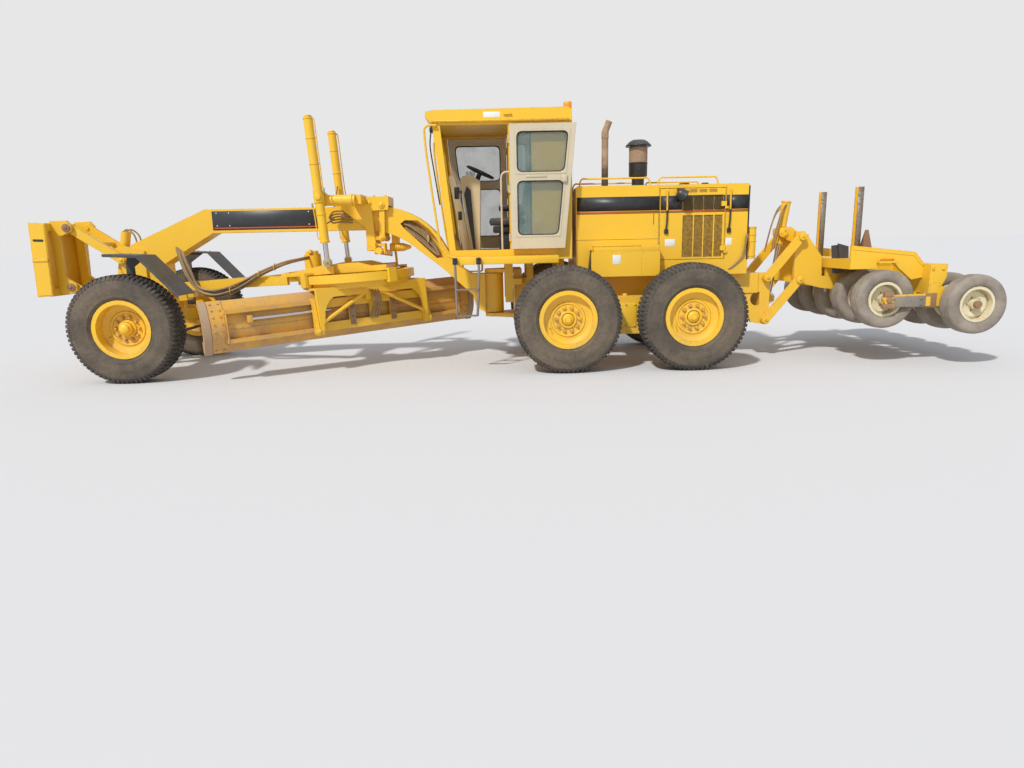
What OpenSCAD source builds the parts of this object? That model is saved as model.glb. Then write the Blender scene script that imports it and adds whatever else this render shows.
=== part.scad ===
// Articulated motor grader with a front lift group and a rear pneumatic roller.
// +X forward, +Y to the machine's left, +Z up. Lengths in millimetres.
// Every x below is measured from the front axle; on_ground() then moves the whole
// machine so that the origin lies on the ground under the middle of its length.

/* [Machine] */
// Front axle, measured forward from the origin
front_axle_x = 4560; // [4000:10:5200]
// Distance from the front axle back to the middle of the tandems
wheelbase = 6086; // [5900:2:6300]
// Distance between the two axles of a tandem
tandem_spacing = 1523; // [1450:1:1600]
// Track, centre to centre of the tyres
track = 2104; // [2060:2:2140]

/* [Tyres and rims] */
// Outer diameter of a tyre
tyre_d = 1300; // [1240:2:1340]
// Width of a tyre
tyre_w = 360; // [330:2:380]
// Bead seat diameter of a rim
rim_d = 635; // [600:1:650]
// Diameter over a rim's flange
flange_d = 704; // [690:1:720]
// Diameter of a wheel spindle
spindle_d = 90; // [70:1:110]

/* [Steering] */
// Distance between the kingpins
kingpin_span = 1520; // [1480:2:1560]
// Diameter of a kingpin
kingpin_d = 60; // [50:1:70]
// Length of a steering arm behind its kingpin
steer_arm = 190; // [160:1:220]

/* [Front frame] */
// Width of the gooseneck box
neck_w = 300; // [260:2:340]
// Height of the gooseneck's straight top above the ground
neck_top = 2071; // [2040:1:2100]
// Depth of the gooseneck box
neck_h = 301; // [270:1:330]
// Articulation pivot, behind the front axle
pivot_back = 4450; // [4400:2:4500]
// Diameter of the articulation pin
pivot_d = 90; // [70:1:100]

/* [Drawbar and circle] */
// Front ball of the drawbar, behind the front axle
ball_back = 230; // [220:1:240]
// Height of the front ball
ball_z = 980; // [960:1:1000]
// Angle by which the drawbar is raised at its rear
drawbar_tilt = 3; // [0:0.5:4]
// Centre of the circle, behind the ball
circle_back = 2370; // [2330:2:2410]
// Outer diameter of the circle ring
circle_d = 1530; // [1500:2:1560]
// Top of the ring above the ball
ring_top = 125; // [115:1:135]
// Thickness of the ring
ring_t = 105; // [90:1:115]
// Turn of the blade from straight across, left end forward
blade_angle = 57; // [40:1:62]

/* [Blade] */
// Length of the blade
blade_l = 3658; // [3500:2:3700]
// Height of the blade
blade_h = 610; // [580:1:640]
// Radius of the blade's hollow face
blade_r = 413; // [400:1:440]
// Thickness of the mouldboard
blade_t = 25; // [16:1:32]
// Bottom of the blade below the ball
blade_drop = 670; // [650:1:690]
// Side shift of the blade towards its left end
blade_shift = 250; // [150:5:260]

/* [Blade lift] */
// Height of the lift cylinders' upper pivots
lift_z = 2170; // [2150:1:2190]
// Upper pivots behind the front axle
lift_back = 2310; // [2290:1:2330]
// Half of the distance between the lift cylinders
lift_y = 620; // [600:1:640]
// Diameter of a lift cylinder's barrel
lift_barrel_d = 112; // [100:1:124]
// Diameter of a lift cylinder's rod
lift_rod_d = 64; // [50:1:70]

/* [Cab] */
// Half width of the cab
cab_y = 620; // [600:1:640]
// Thickness of a cab wall
cab_wall = 50; // [40:1:60]
// Underside of the cab
cab_z = 1360; // [1350:1:1370]
// Height of the cab's walls above the ground
cab_top = 3010; // [2980:1:3040]
// Rear of the cab, behind the front axle
cab_back = 5430; // [5400:1:5440]

/* [Engine enclosure] */
// Front of the hood, behind the front axle
hood_front = 5490; // [5470:1:5520]
// Length of the hood
hood_l = 2200; // [2150:2:2230]
// Half width of the hood
hood_y = 500; // [480:1:520]
// Top of the hood
hood_top = 2245; // [2220:1:2270]
// Thickness of a hood panel
hood_t = 30; // [20:1:40]

/* [Front lift group] */
// Diameter of the lift group's pins
link_pin_d = 50; // [40:1:60]

/* [Roller] */
// Outer diameter of a roller tyre
roller_tyre_d = 710; // [690:1:720]
// Width of a roller tyre
roller_tyre_w = 235; // [220:1:240]
// Distance between tyres in a row
roller_pitch = 512; // [500:1:524]
// Diameter of a roller wheel's spindle
roller_spindle_d = 44; // [36:1:50]

/* [Hidden] */
$fn = 64;

// Clearances
fit = 0.05;          // round running fit, on the radius
slide_gap = 0.3;     // faces that slide on each other
body_gap = 5;        // pieces that move past each other

// Colours
yellow = [0.95, 0.72, 0.06];
cream = [0.83, 0.76, 0.55];
black = [0.09, 0.09, 0.10];
rubber = [0.20, 0.19, 0.18];
steel = [0.45, 0.44, 0.42];
chrome = [0.80, 0.80, 0.82];
rust = [0.42, 0.25, 0.15];
glass = [0.55, 0.70, 0.68, 0.5];

// Wheels
tyre_r = tyre_d / 2;
axle_z = tyre_r;
wheel_y = track / 2;
tandem_front_x = -(wheelbase - tandem_spacing / 2);
tandem_rear_x = -(wheelbase + tandem_spacing / 2);
bead_half = 125;
flange_t = 15;
barrel_t = 18;
hub_r = 120;
tandem_in_y = 620;
tandem_t = 170;
tandem_r = 235;

// Steering
king_y = kingpin_span / 2;
king_boss_r = 90;
king_boss = [560, 740];
fork_t = 40;
fork_web = [king_y + 105, king_y + 135];
arm_eye_r = 34;
arm_pin_r = 14;
tie_rod_z = king_boss[0] - slide_gap - fork_t - 32;

// Hitch
pivot_x = -pivot_back;
neck_y = neck_w / 2;
neck_bottom = neck_top - neck_h;
hitch_z = [660, 1175];
hitch_r = 110;
hitch_plate = 50;
hitch_gap = 10;

// Rear frame
rail_y = [260, 360];
rail_z = [860, 1120];
rail_front_x = -4800;
rear_end_x = -7900;
beam_t = 60;

// Front lift group: rear pins, front pins
f_up = [380, 1450];
f_low = [419, 698];
f_link = [631, 421];
f_up_tip = f_up + f_link;
f_low_tip = f_low + f_link;
f_arm_y = [190, 235];
f_lug_y = [150, 185];
f_cyl_top = [455, 1560];
f_cyl_eye = f_low + 0.3 * f_link;
coupling = [600, 600, 13];   // bolt spacing across and up, hole radius

// Rear lift group
r_up = [-8004, 1052];
r_low = [-8004, 502];
r_link = [-425, 522];
r_up_tip = r_up + r_link;
r_low_tip = r_low + r_link;
r_link_y = [350, 410];
r_lug_y = [290, 345];
r_cyl_top = [-8300, 1623];
r_cyl_eye = [-8180, 760];

// Blade group, in the blade's own frame: x ahead of the circle's centre, z from the ball
blade_mid_h = -blade_drop + blade_h / 2;
blade_arc_x = 100;
blade_back_x = blade_arc_x - blade_r - blade_t;
ring_r = circle_d / 2;
ring_in_r = ring_r - 125;
arm_u = [700, 750];
rail_back_x = blade_back_x - 47;
carrier_x = [rail_back_x - slide_gap - 40, rail_back_x - slide_gap];
arm_front = carrier_x[0] - body_gap;
arm_back = arm_front - 90;
upper_rail_h = [-215, -165];
lower_rail_h = [-565, -515];
pitch_axis = [arm_front - 45, -560];
pitch_pin_r = 25;
collar_r = ring_in_r + 72;
collar_low = -50;
header_top = -22;
shoe_top = ring_top - ring_t - slide_gap;

// Lift linkage
lift_ball = [-2150, 285];
shift_top = [-2990, 400, 1500];
shift_ball = [-2790, -480, 330];
lift_top = [-lift_back, lift_y, lift_z];
function from_drawbar(x, y, z) = [
    -ball_back + x * cos(drawbar_tilt) + z * sin(drawbar_tilt), y,
    ball_z - x * sin(drawbar_tilt) + z * cos(drawbar_tilt)];
lift_eye = from_drawbar(lift_ball[0], lift_y, lift_ball[1]);
shift_eye = from_drawbar(shift_ball[0], shift_ball[1], shift_ball[2]);
eye_t = 40;

// Cab
cab_in_y = cab_y - cab_wall;
door_axis = [-4655, cab_y + 22];
door_t = 43;
door_z = [1495, 2975];
door_w_top = 820;
door_w_low = 680;
door_bar_z = 2360;
floor_top = 1450;

// Hood
hood_rear = -(hood_front + hood_l);
hood_z = rail_z[1] + 20;
engine_door = [-7385, -6550];
engine_door_z = [1315, 2200];
engine_door_t = 30;
hood_hinge_y = hood_y + 13;

// Roller
row_front = [-9190, 806];
row_rear = [-10152, 747];
roller_r = roller_tyre_d / 2;
roller_rim_r = 190;
roller_flange_r = 212;
roller_bead = 80;
roller_lip_t = 10;
hanger_y = [379, 389];
hanger_x = [-9840, -9700];
pivot_y = 1150;

module on_ground() { translate([front_axle_x, 0, 0]) children(); }
module both_sides() { children(); mirror([0, 1, 0]) children(); }
module mirrored_right() { mirror([0, 1, 0]) children(); }
// A side outline in x and z, from y0 to y1
module side_plate(points, y0, y1) {
    translate([0, y1, 0]) rotate([90, 0, 0]) linear_extrude(y1 - y0) polygon(points);
}
// A block between two corners
module block(low, high) { translate(low) cube(high - low); }
// A round bar along y
module cross_bar(x, z, r, y0, y1) {
    translate([x, y1, z]) rotate([90, 0, 0]) cylinder(h = y1 - y0, r = r);
}
// Children drawn along z are laid from a towards b
module along(a, b) {
    d = b - a;
    translate(a) rotate([0, acos(d[2] / norm(d)), atan2(d[1], d[0])]) children();
}
// A round bar from one point to another
module bar(a, b, r) { along(a, b) cylinder(h = norm(b - a), r = r); }
// A flat link with round ends between two pins, in x and z, from y0 to y1
module link(a, b, r, y0, y1, hole_r) {
    d = b - a;
    translate([0, y1, 0]) rotate([90, 0, 0]) linear_extrude(y1 - y0) difference() {
        union() {
            translate(a) circle(r = r);
            translate(b) circle(r = r);
            translate(a) rotate(atan2(d[1], d[0])) translate([0, -r + 3])
                square([norm(d), 2 * r - 6]);
        }
        translate(a) circle(r = hole_r);
        translate(b) circle(r = hole_r);
    }
}
function arc(cx, cz, r, from, to, steps) =
    [for (i = [0 : steps]) let (a = from + (to - from) * i / steps)
        [cx + r * cos(a), cz + r * sin(a)]];

// WHEELS
module tyre_shape(r, in_r, lip_r, half_w, bead) {
    wall_r = (r + lip_r) / 2;
    rotate([90, 0, 0]) rotate_extrude() polygon([
        [in_r, -bead], [lip_r + 1, -bead], [lip_r + 0.35 * (wall_r - lip_r), -half_w + 14],
        [wall_r, -half_w], [r - 0.3 * (r - wall_r), -half_w + 8],
        [r - 8, -half_w + 30], [r, -half_w + 46], [r, half_w - 46],
        [r - 8, half_w - 30], [r - 0.3 * (r - wall_r), half_w - 8], [wall_r, half_w],
        [lip_r + 0.35 * (wall_r - lip_r), half_w - 14], [lip_r + 1, bead], [in_r, bead]
    ]);
}
module tyre(x, side) {
    color(rubber) on_ground() translate([x, side * wheel_y, axle_z])
        tyre_shape(tyre_r, rim_d / 2, flange_d / 2, tyre_w / 2, bead_half);
}
// Rim seen from its outer side at +y; disc_y is the disc's place, hub_y the hub's end
module rim_shape(disc_y, disc_r, hub_y, cap_r) {
    seat = rim_d / 2;
    rotate([-90, 0, 0]) rotate_extrude() polygon([
        [spindle_d / 2 + fit, -bead_half + 20], [hub_r, -bead_half + 20],
        [hub_r, disc_y - 22], [disc_r, disc_y - 22], [seat - barrel_t, disc_y - 60],
        [seat - barrel_t, -bead_half - flange_t], [flange_d / 2, -bead_half - flange_t],
        [flange_d / 2, -bead_half], [seat, -bead_half], [seat, bead_half],
        [flange_d / 2, bead_half], [flange_d / 2, bead_half + flange_t],
        [seat - barrel_t, bead_half + flange_t], [seat - barrel_t, disc_y + 20],
        [disc_r, disc_y], [cap_r, disc_y], [cap_r, hub_y - 30], [cap_r - 30, hub_y],
        [0, hub_y], [0, hub_y - 40], [spindle_d / 2 + fit, hub_y - 40]
    ]);
}
module rim(x, side, front) {
    color(yellow) on_ground() translate([x, side * wheel_y, axle_z])
        mirror([0, side > 0 ? 0 : 1, 0])
            if (front) rim_shape(-20, 235, 70, 78);
            else rim_shape(60, 250, 110, 70);
}
module spindle(x, from_y) {
    cross_bar(x, axle_z, spindle_d / 2, from_y, wheel_y + 20);
}

// REAR MACHINE
module rear_frame() color(yellow) on_ground() {
    both_sides() {
        block([rear_end_x, rail_y[0], rail_z[0]], [rail_front_x, rail_y[1], rail_z[1]]);
        // brackets down to the axle housing, cab posts, outrigger under the cab
        block([-wheelbase - 170, rail_y[0], axle_z + 60], [-wheelbase + 170, rail_y[1], rail_z[0]]);
        for (x = [-4950, -5350])
            block([x, rail_y[0], rail_z[1]], [x + 90, rail_y[1], cab_z]);
        block([-4800, rail_y[0], 1040], [-4580, 500, rail_z[1]]);
        block([-4680, 430, 820], [-4580, 500, cab_z]);
        // lugs of the rear lift group
        difference() {
            side_plate([[-7573, 1068], [-7700, rail_z[1]], [-8020, rail_z[1]], [-8062, 1080],
                [-8062, 470], [-8020, 440], [-7829, 472]], r_lug_y[0], r_lug_y[1]);
            cross_bar(-7900, 780, 90, 0, 400);
        }
        for (p = [r_up, r_low])
            cross_bar(p[0], p[1], link_pin_d / 2, r_lug_y[0], r_link_y[1] + 12);
        // eye bracket of the rear lift cylinder
        side_plate([[-7990, 900], [-8150, 830], [-8235, 790], [-8235, 720], [-8150, 700],
            [-7990, 700]], 40, 65);
    }
    cross_bar(r_cyl_eye[0], r_cyl_eye[1], link_pin_d / 2, -65, 65);
    block([-8000, -r_lug_y[1], 640], [-7930, r_lug_y[1], 940]);
    block([-7900, -rail_y[0], rail_z[0]], [-7800, rail_y[0], rail_z[1]]);
    for (x = [-6950, -6050])
        block([x, -rail_y[0], rail_z[0]], [x + 100, rail_y[0], 900]);
    cross_bar(-wheelbase, axle_z, 150, -tandem_in_y, tandem_in_y);
    // articulation lugs, pin and the web that joins them to the rails
    block([-4800, -rail_y[1], hitch_z[0] - hitch_gap - hitch_plate],
        [-4700, rail_y[1], hitch_z[1] + hitch_gap + hitch_plate]);
    for (z = [hitch_z[0] - hitch_gap - hitch_plate, hitch_z[1] + hitch_gap]) {
        translate([pivot_x, 0, z]) cylinder(h = hitch_plate, r = 140);
        translate([0, 0, z]) linear_extrude(hitch_plate)
            polygon([[pivot_x, -140], [pivot_x, 140], [-4700, 300], [-4700, -300]]);
    }
    translate([pivot_x, 0, hitch_z[0] - hitch_gap - hitch_plate])
        cylinder(h = hitch_z[1] - hitch_z[0] + 2 * (hitch_gap + hitch_plate), r = pivot_d / 2);
}

module tandems() color(yellow) on_ground() both_sides() {
    for (x = [tandem_front_x, tandem_rear_x]) {
        cross_bar(x, axle_z, tandem_r, tandem_in_y, tandem_in_y + tandem_t);
        cross_bar(x, axle_z, 130, tandem_in_y + tandem_t, tandem_in_y + tandem_t + 60);
        spindle(x, tandem_in_y + tandem_t);
    }
    block([tandem_rear_x, tandem_in_y, axle_z - tandem_r],
        [tandem_front_x, tandem_in_y + tandem_t, axle_z + tandem_r]);
}

module engine() color(steel) on_ground() block([-7000, -250, 900], [-5900, 250, 1900]);

module hood() color(yellow) on_ground() {
    difference() {
        side_plate([[hood_rear, hood_z], [hood_rear, hood_top - 25], [hood_rear + 25, hood_top],
            [-hood_front - 25, hood_top], [-hood_front, hood_top - 25], [-hood_front, hood_z]],
            -hood_y, hood_y);
        block([hood_rear + hood_t, -hood_y + hood_t, hood_z - 1],
            [-hood_front - hood_t, hood_y - hood_t, hood_top - hood_t]);
        both_sides() block([engine_door[0], hood_y - hood_t - 1, engine_door_z[0]],
            [engine_door[1], hood_y + 1, engine_door_z[1]]);
    }
    both_sides() {
        block([hood_rear, rail_y[0] + 40, rail_z[1]], [-hood_front, hood_y, hood_z]);
        block([-6535, hood_y, 1125], [-5665, 650, 1430]);
        // hinge barrels of the engine doors
        for (z = [1450, 2000]) {
            block([engine_door[0] - 40, hood_y, z - 60], [engine_door[0] - 6, hood_hinge_y, z - 30]);
            translate([engine_door[0], hood_hinge_y, z - 60]) cylinder(h = 30, r = 12);
            block([engine_door[0] - 20, hood_hinge_y - 12, z - 60],
                [engine_door[0], hood_hinge_y + 12, z - 30]);
            translate([engine_door[0], hood_hinge_y, z - 40]) cylinder(h = 80, r = 5);
        }
    }
    translate([hood_rear - 66, 400, 1305]) cylinder(h = 403, r = 66);
    block([hood_rear - 60, 340, 1340], [hood_rear, 460, 1400]);
}
// Grille panels: rear and front edge in x, and two heights
grille_x = [[-7350, -7252], [-7234, -7117], [-7101, -6992], [-6976, -6845]];
grille_z = [[1345, 1865], [1925, 2105]];
grille_deep = 12;
module engine_door_shape() {
    difference() {
        block([engine_door[0] + body_gap, hood_y - engine_door_t, engine_door_z[0] + body_gap],
            [engine_door[1] - body_gap, hood_y, engine_door_z[1] - body_gap]);
        for (x = grille_x, z = grille_z)
            block([x[0], hood_y - grille_deep, z[0]], [x[1], hood_y + 1, z[1]]);
    }
    for (z = [1450, 2000]) difference() {
        union() {
            translate([engine_door[0], hood_hinge_y, z - 30 + slide_gap]) cylinder(h = 60, r = 12);
            block([engine_door[0], hood_hinge_y, z - 30 + slide_gap],
                [engine_door[0] + 60, hood_hinge_y + 12, z + 30 + slide_gap]);
            block([engine_door[0] + 25, hood_y, z - 30 + slide_gap],
                [engine_door[0] + 60, hood_hinge_y + 12, z + 30 + slide_gap]);
        }
        translate([engine_door[0], hood_hinge_y, z - 40]) cylinder(h = 100, r = 5 + fit);
    }
}
module engine_door_left() color(yellow) on_ground() engine_door_shape();
module engine_door_right() color(yellow) on_ground() mirrored_right() engine_door_shape();

pipe_r = 43;
pipe_top = 690;
pipe_bend = 120;
pipe_lean = 22;
module exhaust() color(steel) on_ground() translate([-5927, 0, hood_top]) {
    cylinder(h = 20, r = 85);
    cylinder(h = pipe_top - 4, r = pipe_r);
    translate([0, 0, pipe_top - 60]) cylinder(h = 72, r = pipe_r + 4);
    translate([-pipe_bend, 0, pipe_top]) rotate([90, 0, 0]) rotate_extrude(angle = pipe_lean)
        translate([pipe_bend, 0]) circle(r = pipe_r);
    translate([-pipe_bend, 0, pipe_top]) rotate([0, -pipe_lean, 0]) translate([pipe_bend, 0, 0])
        difference() {
            cylinder(h = 115, r = pipe_r);
            translate([0, 0, 40]) cylinder(h = 100, r = pipe_r - 5);
        }
}
module air_intake() color(black) on_ground() translate([-6364, 0, hood_top]) {
    cylinder(h = 320, r = 80);
    translate([0, 0, 137]) cylinder(h = 175, r = 120);
    translate([0, 0, 312]) cylinder(h = 215, r = 120);
    translate([0, 0, 526]) cylinder(h = 78, r = 166);
}

// CAB
front_wall = [-3893, 1424, -3733, 3010];
function wall_x(z) = front_wall[0]
    + (z - front_wall[1]) * (front_wall[2] - front_wall[0]) / (front_wall[3] - front_wall[1]);
side_window = [-4920, -4720, 1600, 2900];
module door_outline(gap) {
    x0 = -4650 + gap;
    polygon([[x0, door_z[0] - 5 + gap], [x0, door_z[1] + 5 - gap],
        [x0 + door_w_top - 2 * gap, door_z[1] + 5 - gap],
        [x0 + door_w_low - 2 * gap, door_z[0] - 5 + gap]]);
}
module cab_frame() color(yellow) on_ground() {
    difference() {
        side_plate([[front_wall[0], front_wall[1]], [wall_x(cab_top), cab_top],
            [-cab_back, cab_top], [-cab_back, cab_z], [-3990, cab_z]], -cab_y, cab_y);
        side_plate([[wall_x(floor_top) - cab_wall, floor_top],
            [wall_x(cab_top + 1) - cab_wall, cab_top + 1], [-cab_back + cab_wall, cab_top + 1],
            [-cab_back + cab_wall, floor_top]], -cab_in_y, cab_in_y);
        // hollow under the floor's front end for the turning gooseneck
        side_plate([[-3800, cab_z - 1], [-4030, cab_z - 1], [-3868, 1640], [-3700, 1640]],
            -480, 480);
        both_sides() {
            translate([0, cab_y + 1, 0]) rotate([90, 0, 0]) linear_extrude(cab_wall + 2)
                door_outline(0);
            block([side_window[0], cab_in_y - 1, side_window[2]],
                [side_window[1], cab_y + 1, side_window[3]]);
        }
        side_plate([[wall_x(1700) - cab_wall - 5, 1700], [wall_x(1700) + 5, 1700],
            [wall_x(2940) + 5, 2940], [wall_x(2940) - cab_wall - 5, 2940]], -530, 530);
        block([-cab_back - 1, -400, 1900], [-cab_back + cab_wall + 1, 400, 2900]);
    }
    side_plate([[-4080, cab_z], [-4030, cab_z], [-3868, 1640], [wall_x(1660), 1660],
        [wall_x(1660) - cab_wall, 1660], [-3918, 1640]], -480, 480);
    both_sides() for (z = [1650, 2235, 2820]) {
        block([-4740, cab_y, z - 60], [-4700, cab_y + 22, z - 30]);
        block([-4740, cab_y + 8, z - 60], [door_axis[0], door_axis[1] + 14, z - 30]);
        translate([door_axis[0], door_axis[1], z - 60]) cylinder(h = 30, r = 14);
        translate([door_axis[0], door_axis[1], z - 40]) cylinder(h = 80, r = 7);
    }
}
beacon = [-5388, 500];
module cab_roof() color(yellow) on_ground() {
    translate([beacon[0], beacon[1], cab_top + 145]) cylinder(h = 88, r = 50);
    side_plate([[-3722, cab_top], [-3655, cab_top + 60], [-3665, cab_top + 125],
        [-3760, cab_top + 140], [-5380, cab_top + 155], [-5425, cab_top + 130],
        [-5430, cab_top]], -650, 650);
}
module cab_windows() color(glass) on_ground() {
    mid = cab_wall / 2;
    side_plate([[wall_x(1700) - mid - 3, 1700], [wall_x(1700) - mid + 3, 1700],
        [wall_x(2940) - mid + 3, 2940], [wall_x(2940) - mid - 3, 2940]], -530, 530);
    both_sides() block([side_window[0], cab_y - mid - 3, side_window[2]],
        [side_window[1], cab_y - mid + 3, side_window[3]]);
    block([-cab_back + mid - 3, -400, 1900], [-cab_back + mid + 3, 400, 2900]);
}
// Closed door on the left side
module cab_door_shape() {
    difference() {
        translate([0, cab_y, 0]) rotate([90, 0, 0]) linear_extrude(door_t) door_outline(body_gap);
        translate([0, cab_y + 1, 0]) rotate([90, 0, 0]) linear_extrude(door_t + 2) {
            polygon([[-4580, door_bar_z + 30], [-4580, 2905], [-3905, 2905], [-3960, door_bar_z + 30]]);
            polygon([[-4580, 1640], [-4580, door_bar_z - 30], [-3966, door_bar_z - 30], [-4036, 1640]]);
        }
    }
    for (z = [1650, 2235, 2820]) difference() {
        union() {
            translate([door_axis[0], door_axis[1], z - 30 + slide_gap]) cylinder(h = 60, r = 14);
            block([door_axis[0], door_axis[1] - 8, z - 30 + slide_gap],
                [-4580, door_axis[1] + 8, z + 30 + slide_gap]);
            block([-4625, cab_y, z - 30 + slide_gap], [-4580, door_axis[1] + 8, z + 30 + slide_gap]);
        }
        translate([door_axis[0], door_axis[1], z - 40]) cylinder(h = 100, r = 7 + fit);
    }
}
module cab_door_left() color(black) on_ground() translate([door_axis[0], door_axis[1], 0])
    rotate([0, 0, 180]) translate([-door_axis[0], -door_axis[1], 0]) cab_door_shape();
module cab_door_right() color(black) on_ground() mirrored_right() cab_door_shape();

module operator_seat() color(black) on_ground() {
    block([-4850, -160, floor_top], [-4520, 160, 1780]);
    block([-4900, -255, 1780], [-4380, 255, 1900]);
    side_plate([[-4790, 1900], [-4900, 1900], [-5030, 2560], [-4930, 2580]], -235, 235);
    both_sides() block([-4860, 255, 1790], [-4520, 320, 2060]);
}
module console() color(black) on_ground() {
    side_plate([[-4270, floor_top], [-4130, floor_top], [-4030, 2430], [-4290, 2430]], -110, 110);
    side_plate([[-4140, floor_top], [-4035, floor_top], [-3870, 2440], [-3955, 2450],
        [-4060, 2000]], -70, 70);
    translate([-4290, 0, 2480]) rotate([0, -25, 0]) {
        rotate_extrude() translate([180, 0]) circle(r = 14);
        cylinder(h = 24, r = 40);
        for (a = [0, 120, 240]) rotate([0, 0, a]) block([0, -12, -6], [178, 12, 6]);
        translate([0, 0, -120]) cylinder(h = 130, r = 30);
    }
}
// outer line of the handrail, and the step from it to the inner line
grab = [[-4010, 1400], [-3890, 1412], [-3770, 1570], [-3669, 2392], [-3628, 2920],
    [-3690, 2990], [-3790, 2990]];
grab_w = [[0, 26], [-12, 28], [-30, 6], [-30, 4], [-30, -12], [-12, -30], [0, -30]];
module platforms() color(black) on_ground() {
    both_sides() {
        block([-5235, cab_y, cab_z], [-3950, 900, 1412]);
        block([-5235, 880, 1322], [-3950, 900, cab_z + 5]);
        // handrail along the front pillar
        side_plate(concat(grab, [for (i = [len(grab) - 1 : -1 : 0]) grab[i] + grab_w[i]]),
            636, 666);
        block([-3790, 620, 2950], [-3740, 640, 2985]);
    }
    // left ladder
    for (x = [-4280, -3995])
        block([x, 900, 670], [x + 45, 985, 1412]);
    for (z = [680, 1000]) block([-4280, 900, z], [-3950, 985, z + 35]);
    // right step
    mirrored_right() {
        for (x = [-4280, -3995]) block([x, 900, 1150], [x + 45, 985, 1412]);
        block([-4280, 900, 1150], [-3950, 985, 1185]);
    }
}

// REAR LIFT GROUP AND ROLLER
module rear_upper_links() color(yellow) on_ground() both_sides()
    link(r_up, r_up_tip, 55, r_link_y[0], r_link_y[1], link_pin_d / 2 + fit);
module rear_lower_links() color(yellow) on_ground() both_sides()
    link(r_low, r_low_tip, 55, r_link_y[0], r_link_y[1], link_pin_d / 2 + fit);
arms_top = 1060;
module tool_carrier() color(yellow) on_ground() {
    both_sides() {
        side_plate([[-8365, 1640], [-8480, 1640], [-8723, 1320], [-8741, arms_top],
            [-9170, arms_top], [-9187, 850], [-8738, 905], [-8520, 960], [-8372, 980]],
            r_lug_y[0], r_lug_y[1]);
        for (p = [r_up_tip, r_low_tip])
            cross_bar(p[0], p[1], link_pin_d / 2, r_lug_y[0], r_link_y[1] + 12);
        // horns that hold the lift cylinder's trunnion
        difference() {
            side_plate([[-8480, 1640], [-8560, 1530], [-8480, 1470], [-8300, 1560],
                [-8235, 1600], [-8235, 1680], [-8300, 1700], [-8400, 1700]], 72, 102);
            cross_bar(r_cyl_top[0], r_cyl_top[1], 28 + fit, 60, 120);
        }
    }
    block([-8560, -r_lug_y[0], 1500], [-8440, r_lug_y[0], 1600]);
    block([-8720, -r_lug_y[0], arms_top - 60], [-8600, r_lug_y[0], arms_top]);
}
// Lift cylinder hung at its trunnion; z runs from the trunnion to the rod's eye
module barrel(r, rod_r, up, down, pin_r, pin_y) {
    difference() {
        translate([0, 0, -up]) cylinder(h = up + down, r = r);
        translate([0, 0, 30 - up]) cylinder(h = up + down, r = rod_r + slide_gap);
    }
    difference() {
        cross_bar(0, 0, pin_r, -pin_y, pin_y);
        translate([0, 0, -up]) cylinder(h = up + down, r = r - 5);
    }
}
module rod(r, inside, length, eye_r, eye_bore, eye_w) {
    translate([0, 0, -inside]) cylinder(h = inside + length - eye_bore - 4, r = r);
    difference() {
        translate([0, 0, length]) cross_bar(0, 0, eye_r, -eye_w / 2, eye_w / 2);
        translate([0, 0, length]) cross_bar(0, 0, eye_bore, -eye_w, eye_w);
    }
}
function at_y(p, y) = [p[0], y, p[1]];
module rear_lift_barrel() color(black) on_ground()
    along(at_y(r_cyl_top, 0), at_y(r_cyl_eye, 0)) barrel(58, 28, 420, 150, 28, 102);
module rear_lift_rod() color(chrome) on_ground()
    along(at_y(r_cyl_top, 0), at_y(r_cyl_eye, 0))
        rod(28, 80, norm(r_cyl_eye - r_cyl_top), 82, 56, 56);

front_row = [-2, -1, 0, 1, 2];
rear_row = [-2.5, -1.5, -0.5, 0.5, 1.5, 2.5];
module roller_tyre() color(rubber)
    tyre_shape(roller_r, roller_rim_r, roller_flange_r, roller_tyre_w / 2, roller_bead);
module roller_rim() color(cream) rotate([-90, 0, 0]) rotate_extrude() polygon([
    [roller_spindle_d / 2 + fit, -70], [60, -70], [60, -12], [roller_rim_r - 12, -12],
    [roller_rim_r - 12, -roller_bead - roller_lip_t], [roller_flange_r, -roller_bead - roller_lip_t],
    [roller_flange_r, -roller_bead], [roller_rim_r, -roller_bead], [roller_rim_r, roller_bead],
    [roller_flange_r, roller_bead], [roller_flange_r, roller_bead + roller_lip_t],
    [roller_rim_r - 12, roller_bead + roller_lip_t], [roller_rim_r - 12, 0], [60, 0], [60, 70],
    [roller_spindle_d / 2 + fit, 70]]);
module roller_front_tyres() on_ground() for (i = front_row)
    translate([row_front[0], i * roller_pitch, row_front[1]]) roller_tyre();
module roller_front_rims() on_ground() for (i = front_row)
    translate([row_front[0], i * roller_pitch, row_front[1]]) roller_rim();
module roller_rear_tyres() on_ground() for (i = rear_row)
    translate([row_rear[0], i * roller_pitch, row_rear[1]]) roller_tyre();
module roller_rear_rims() on_ground() for (i = rear_row)
    translate([row_rear[0], i * roller_pitch, row_rear[1]]) roller_rim();
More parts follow.
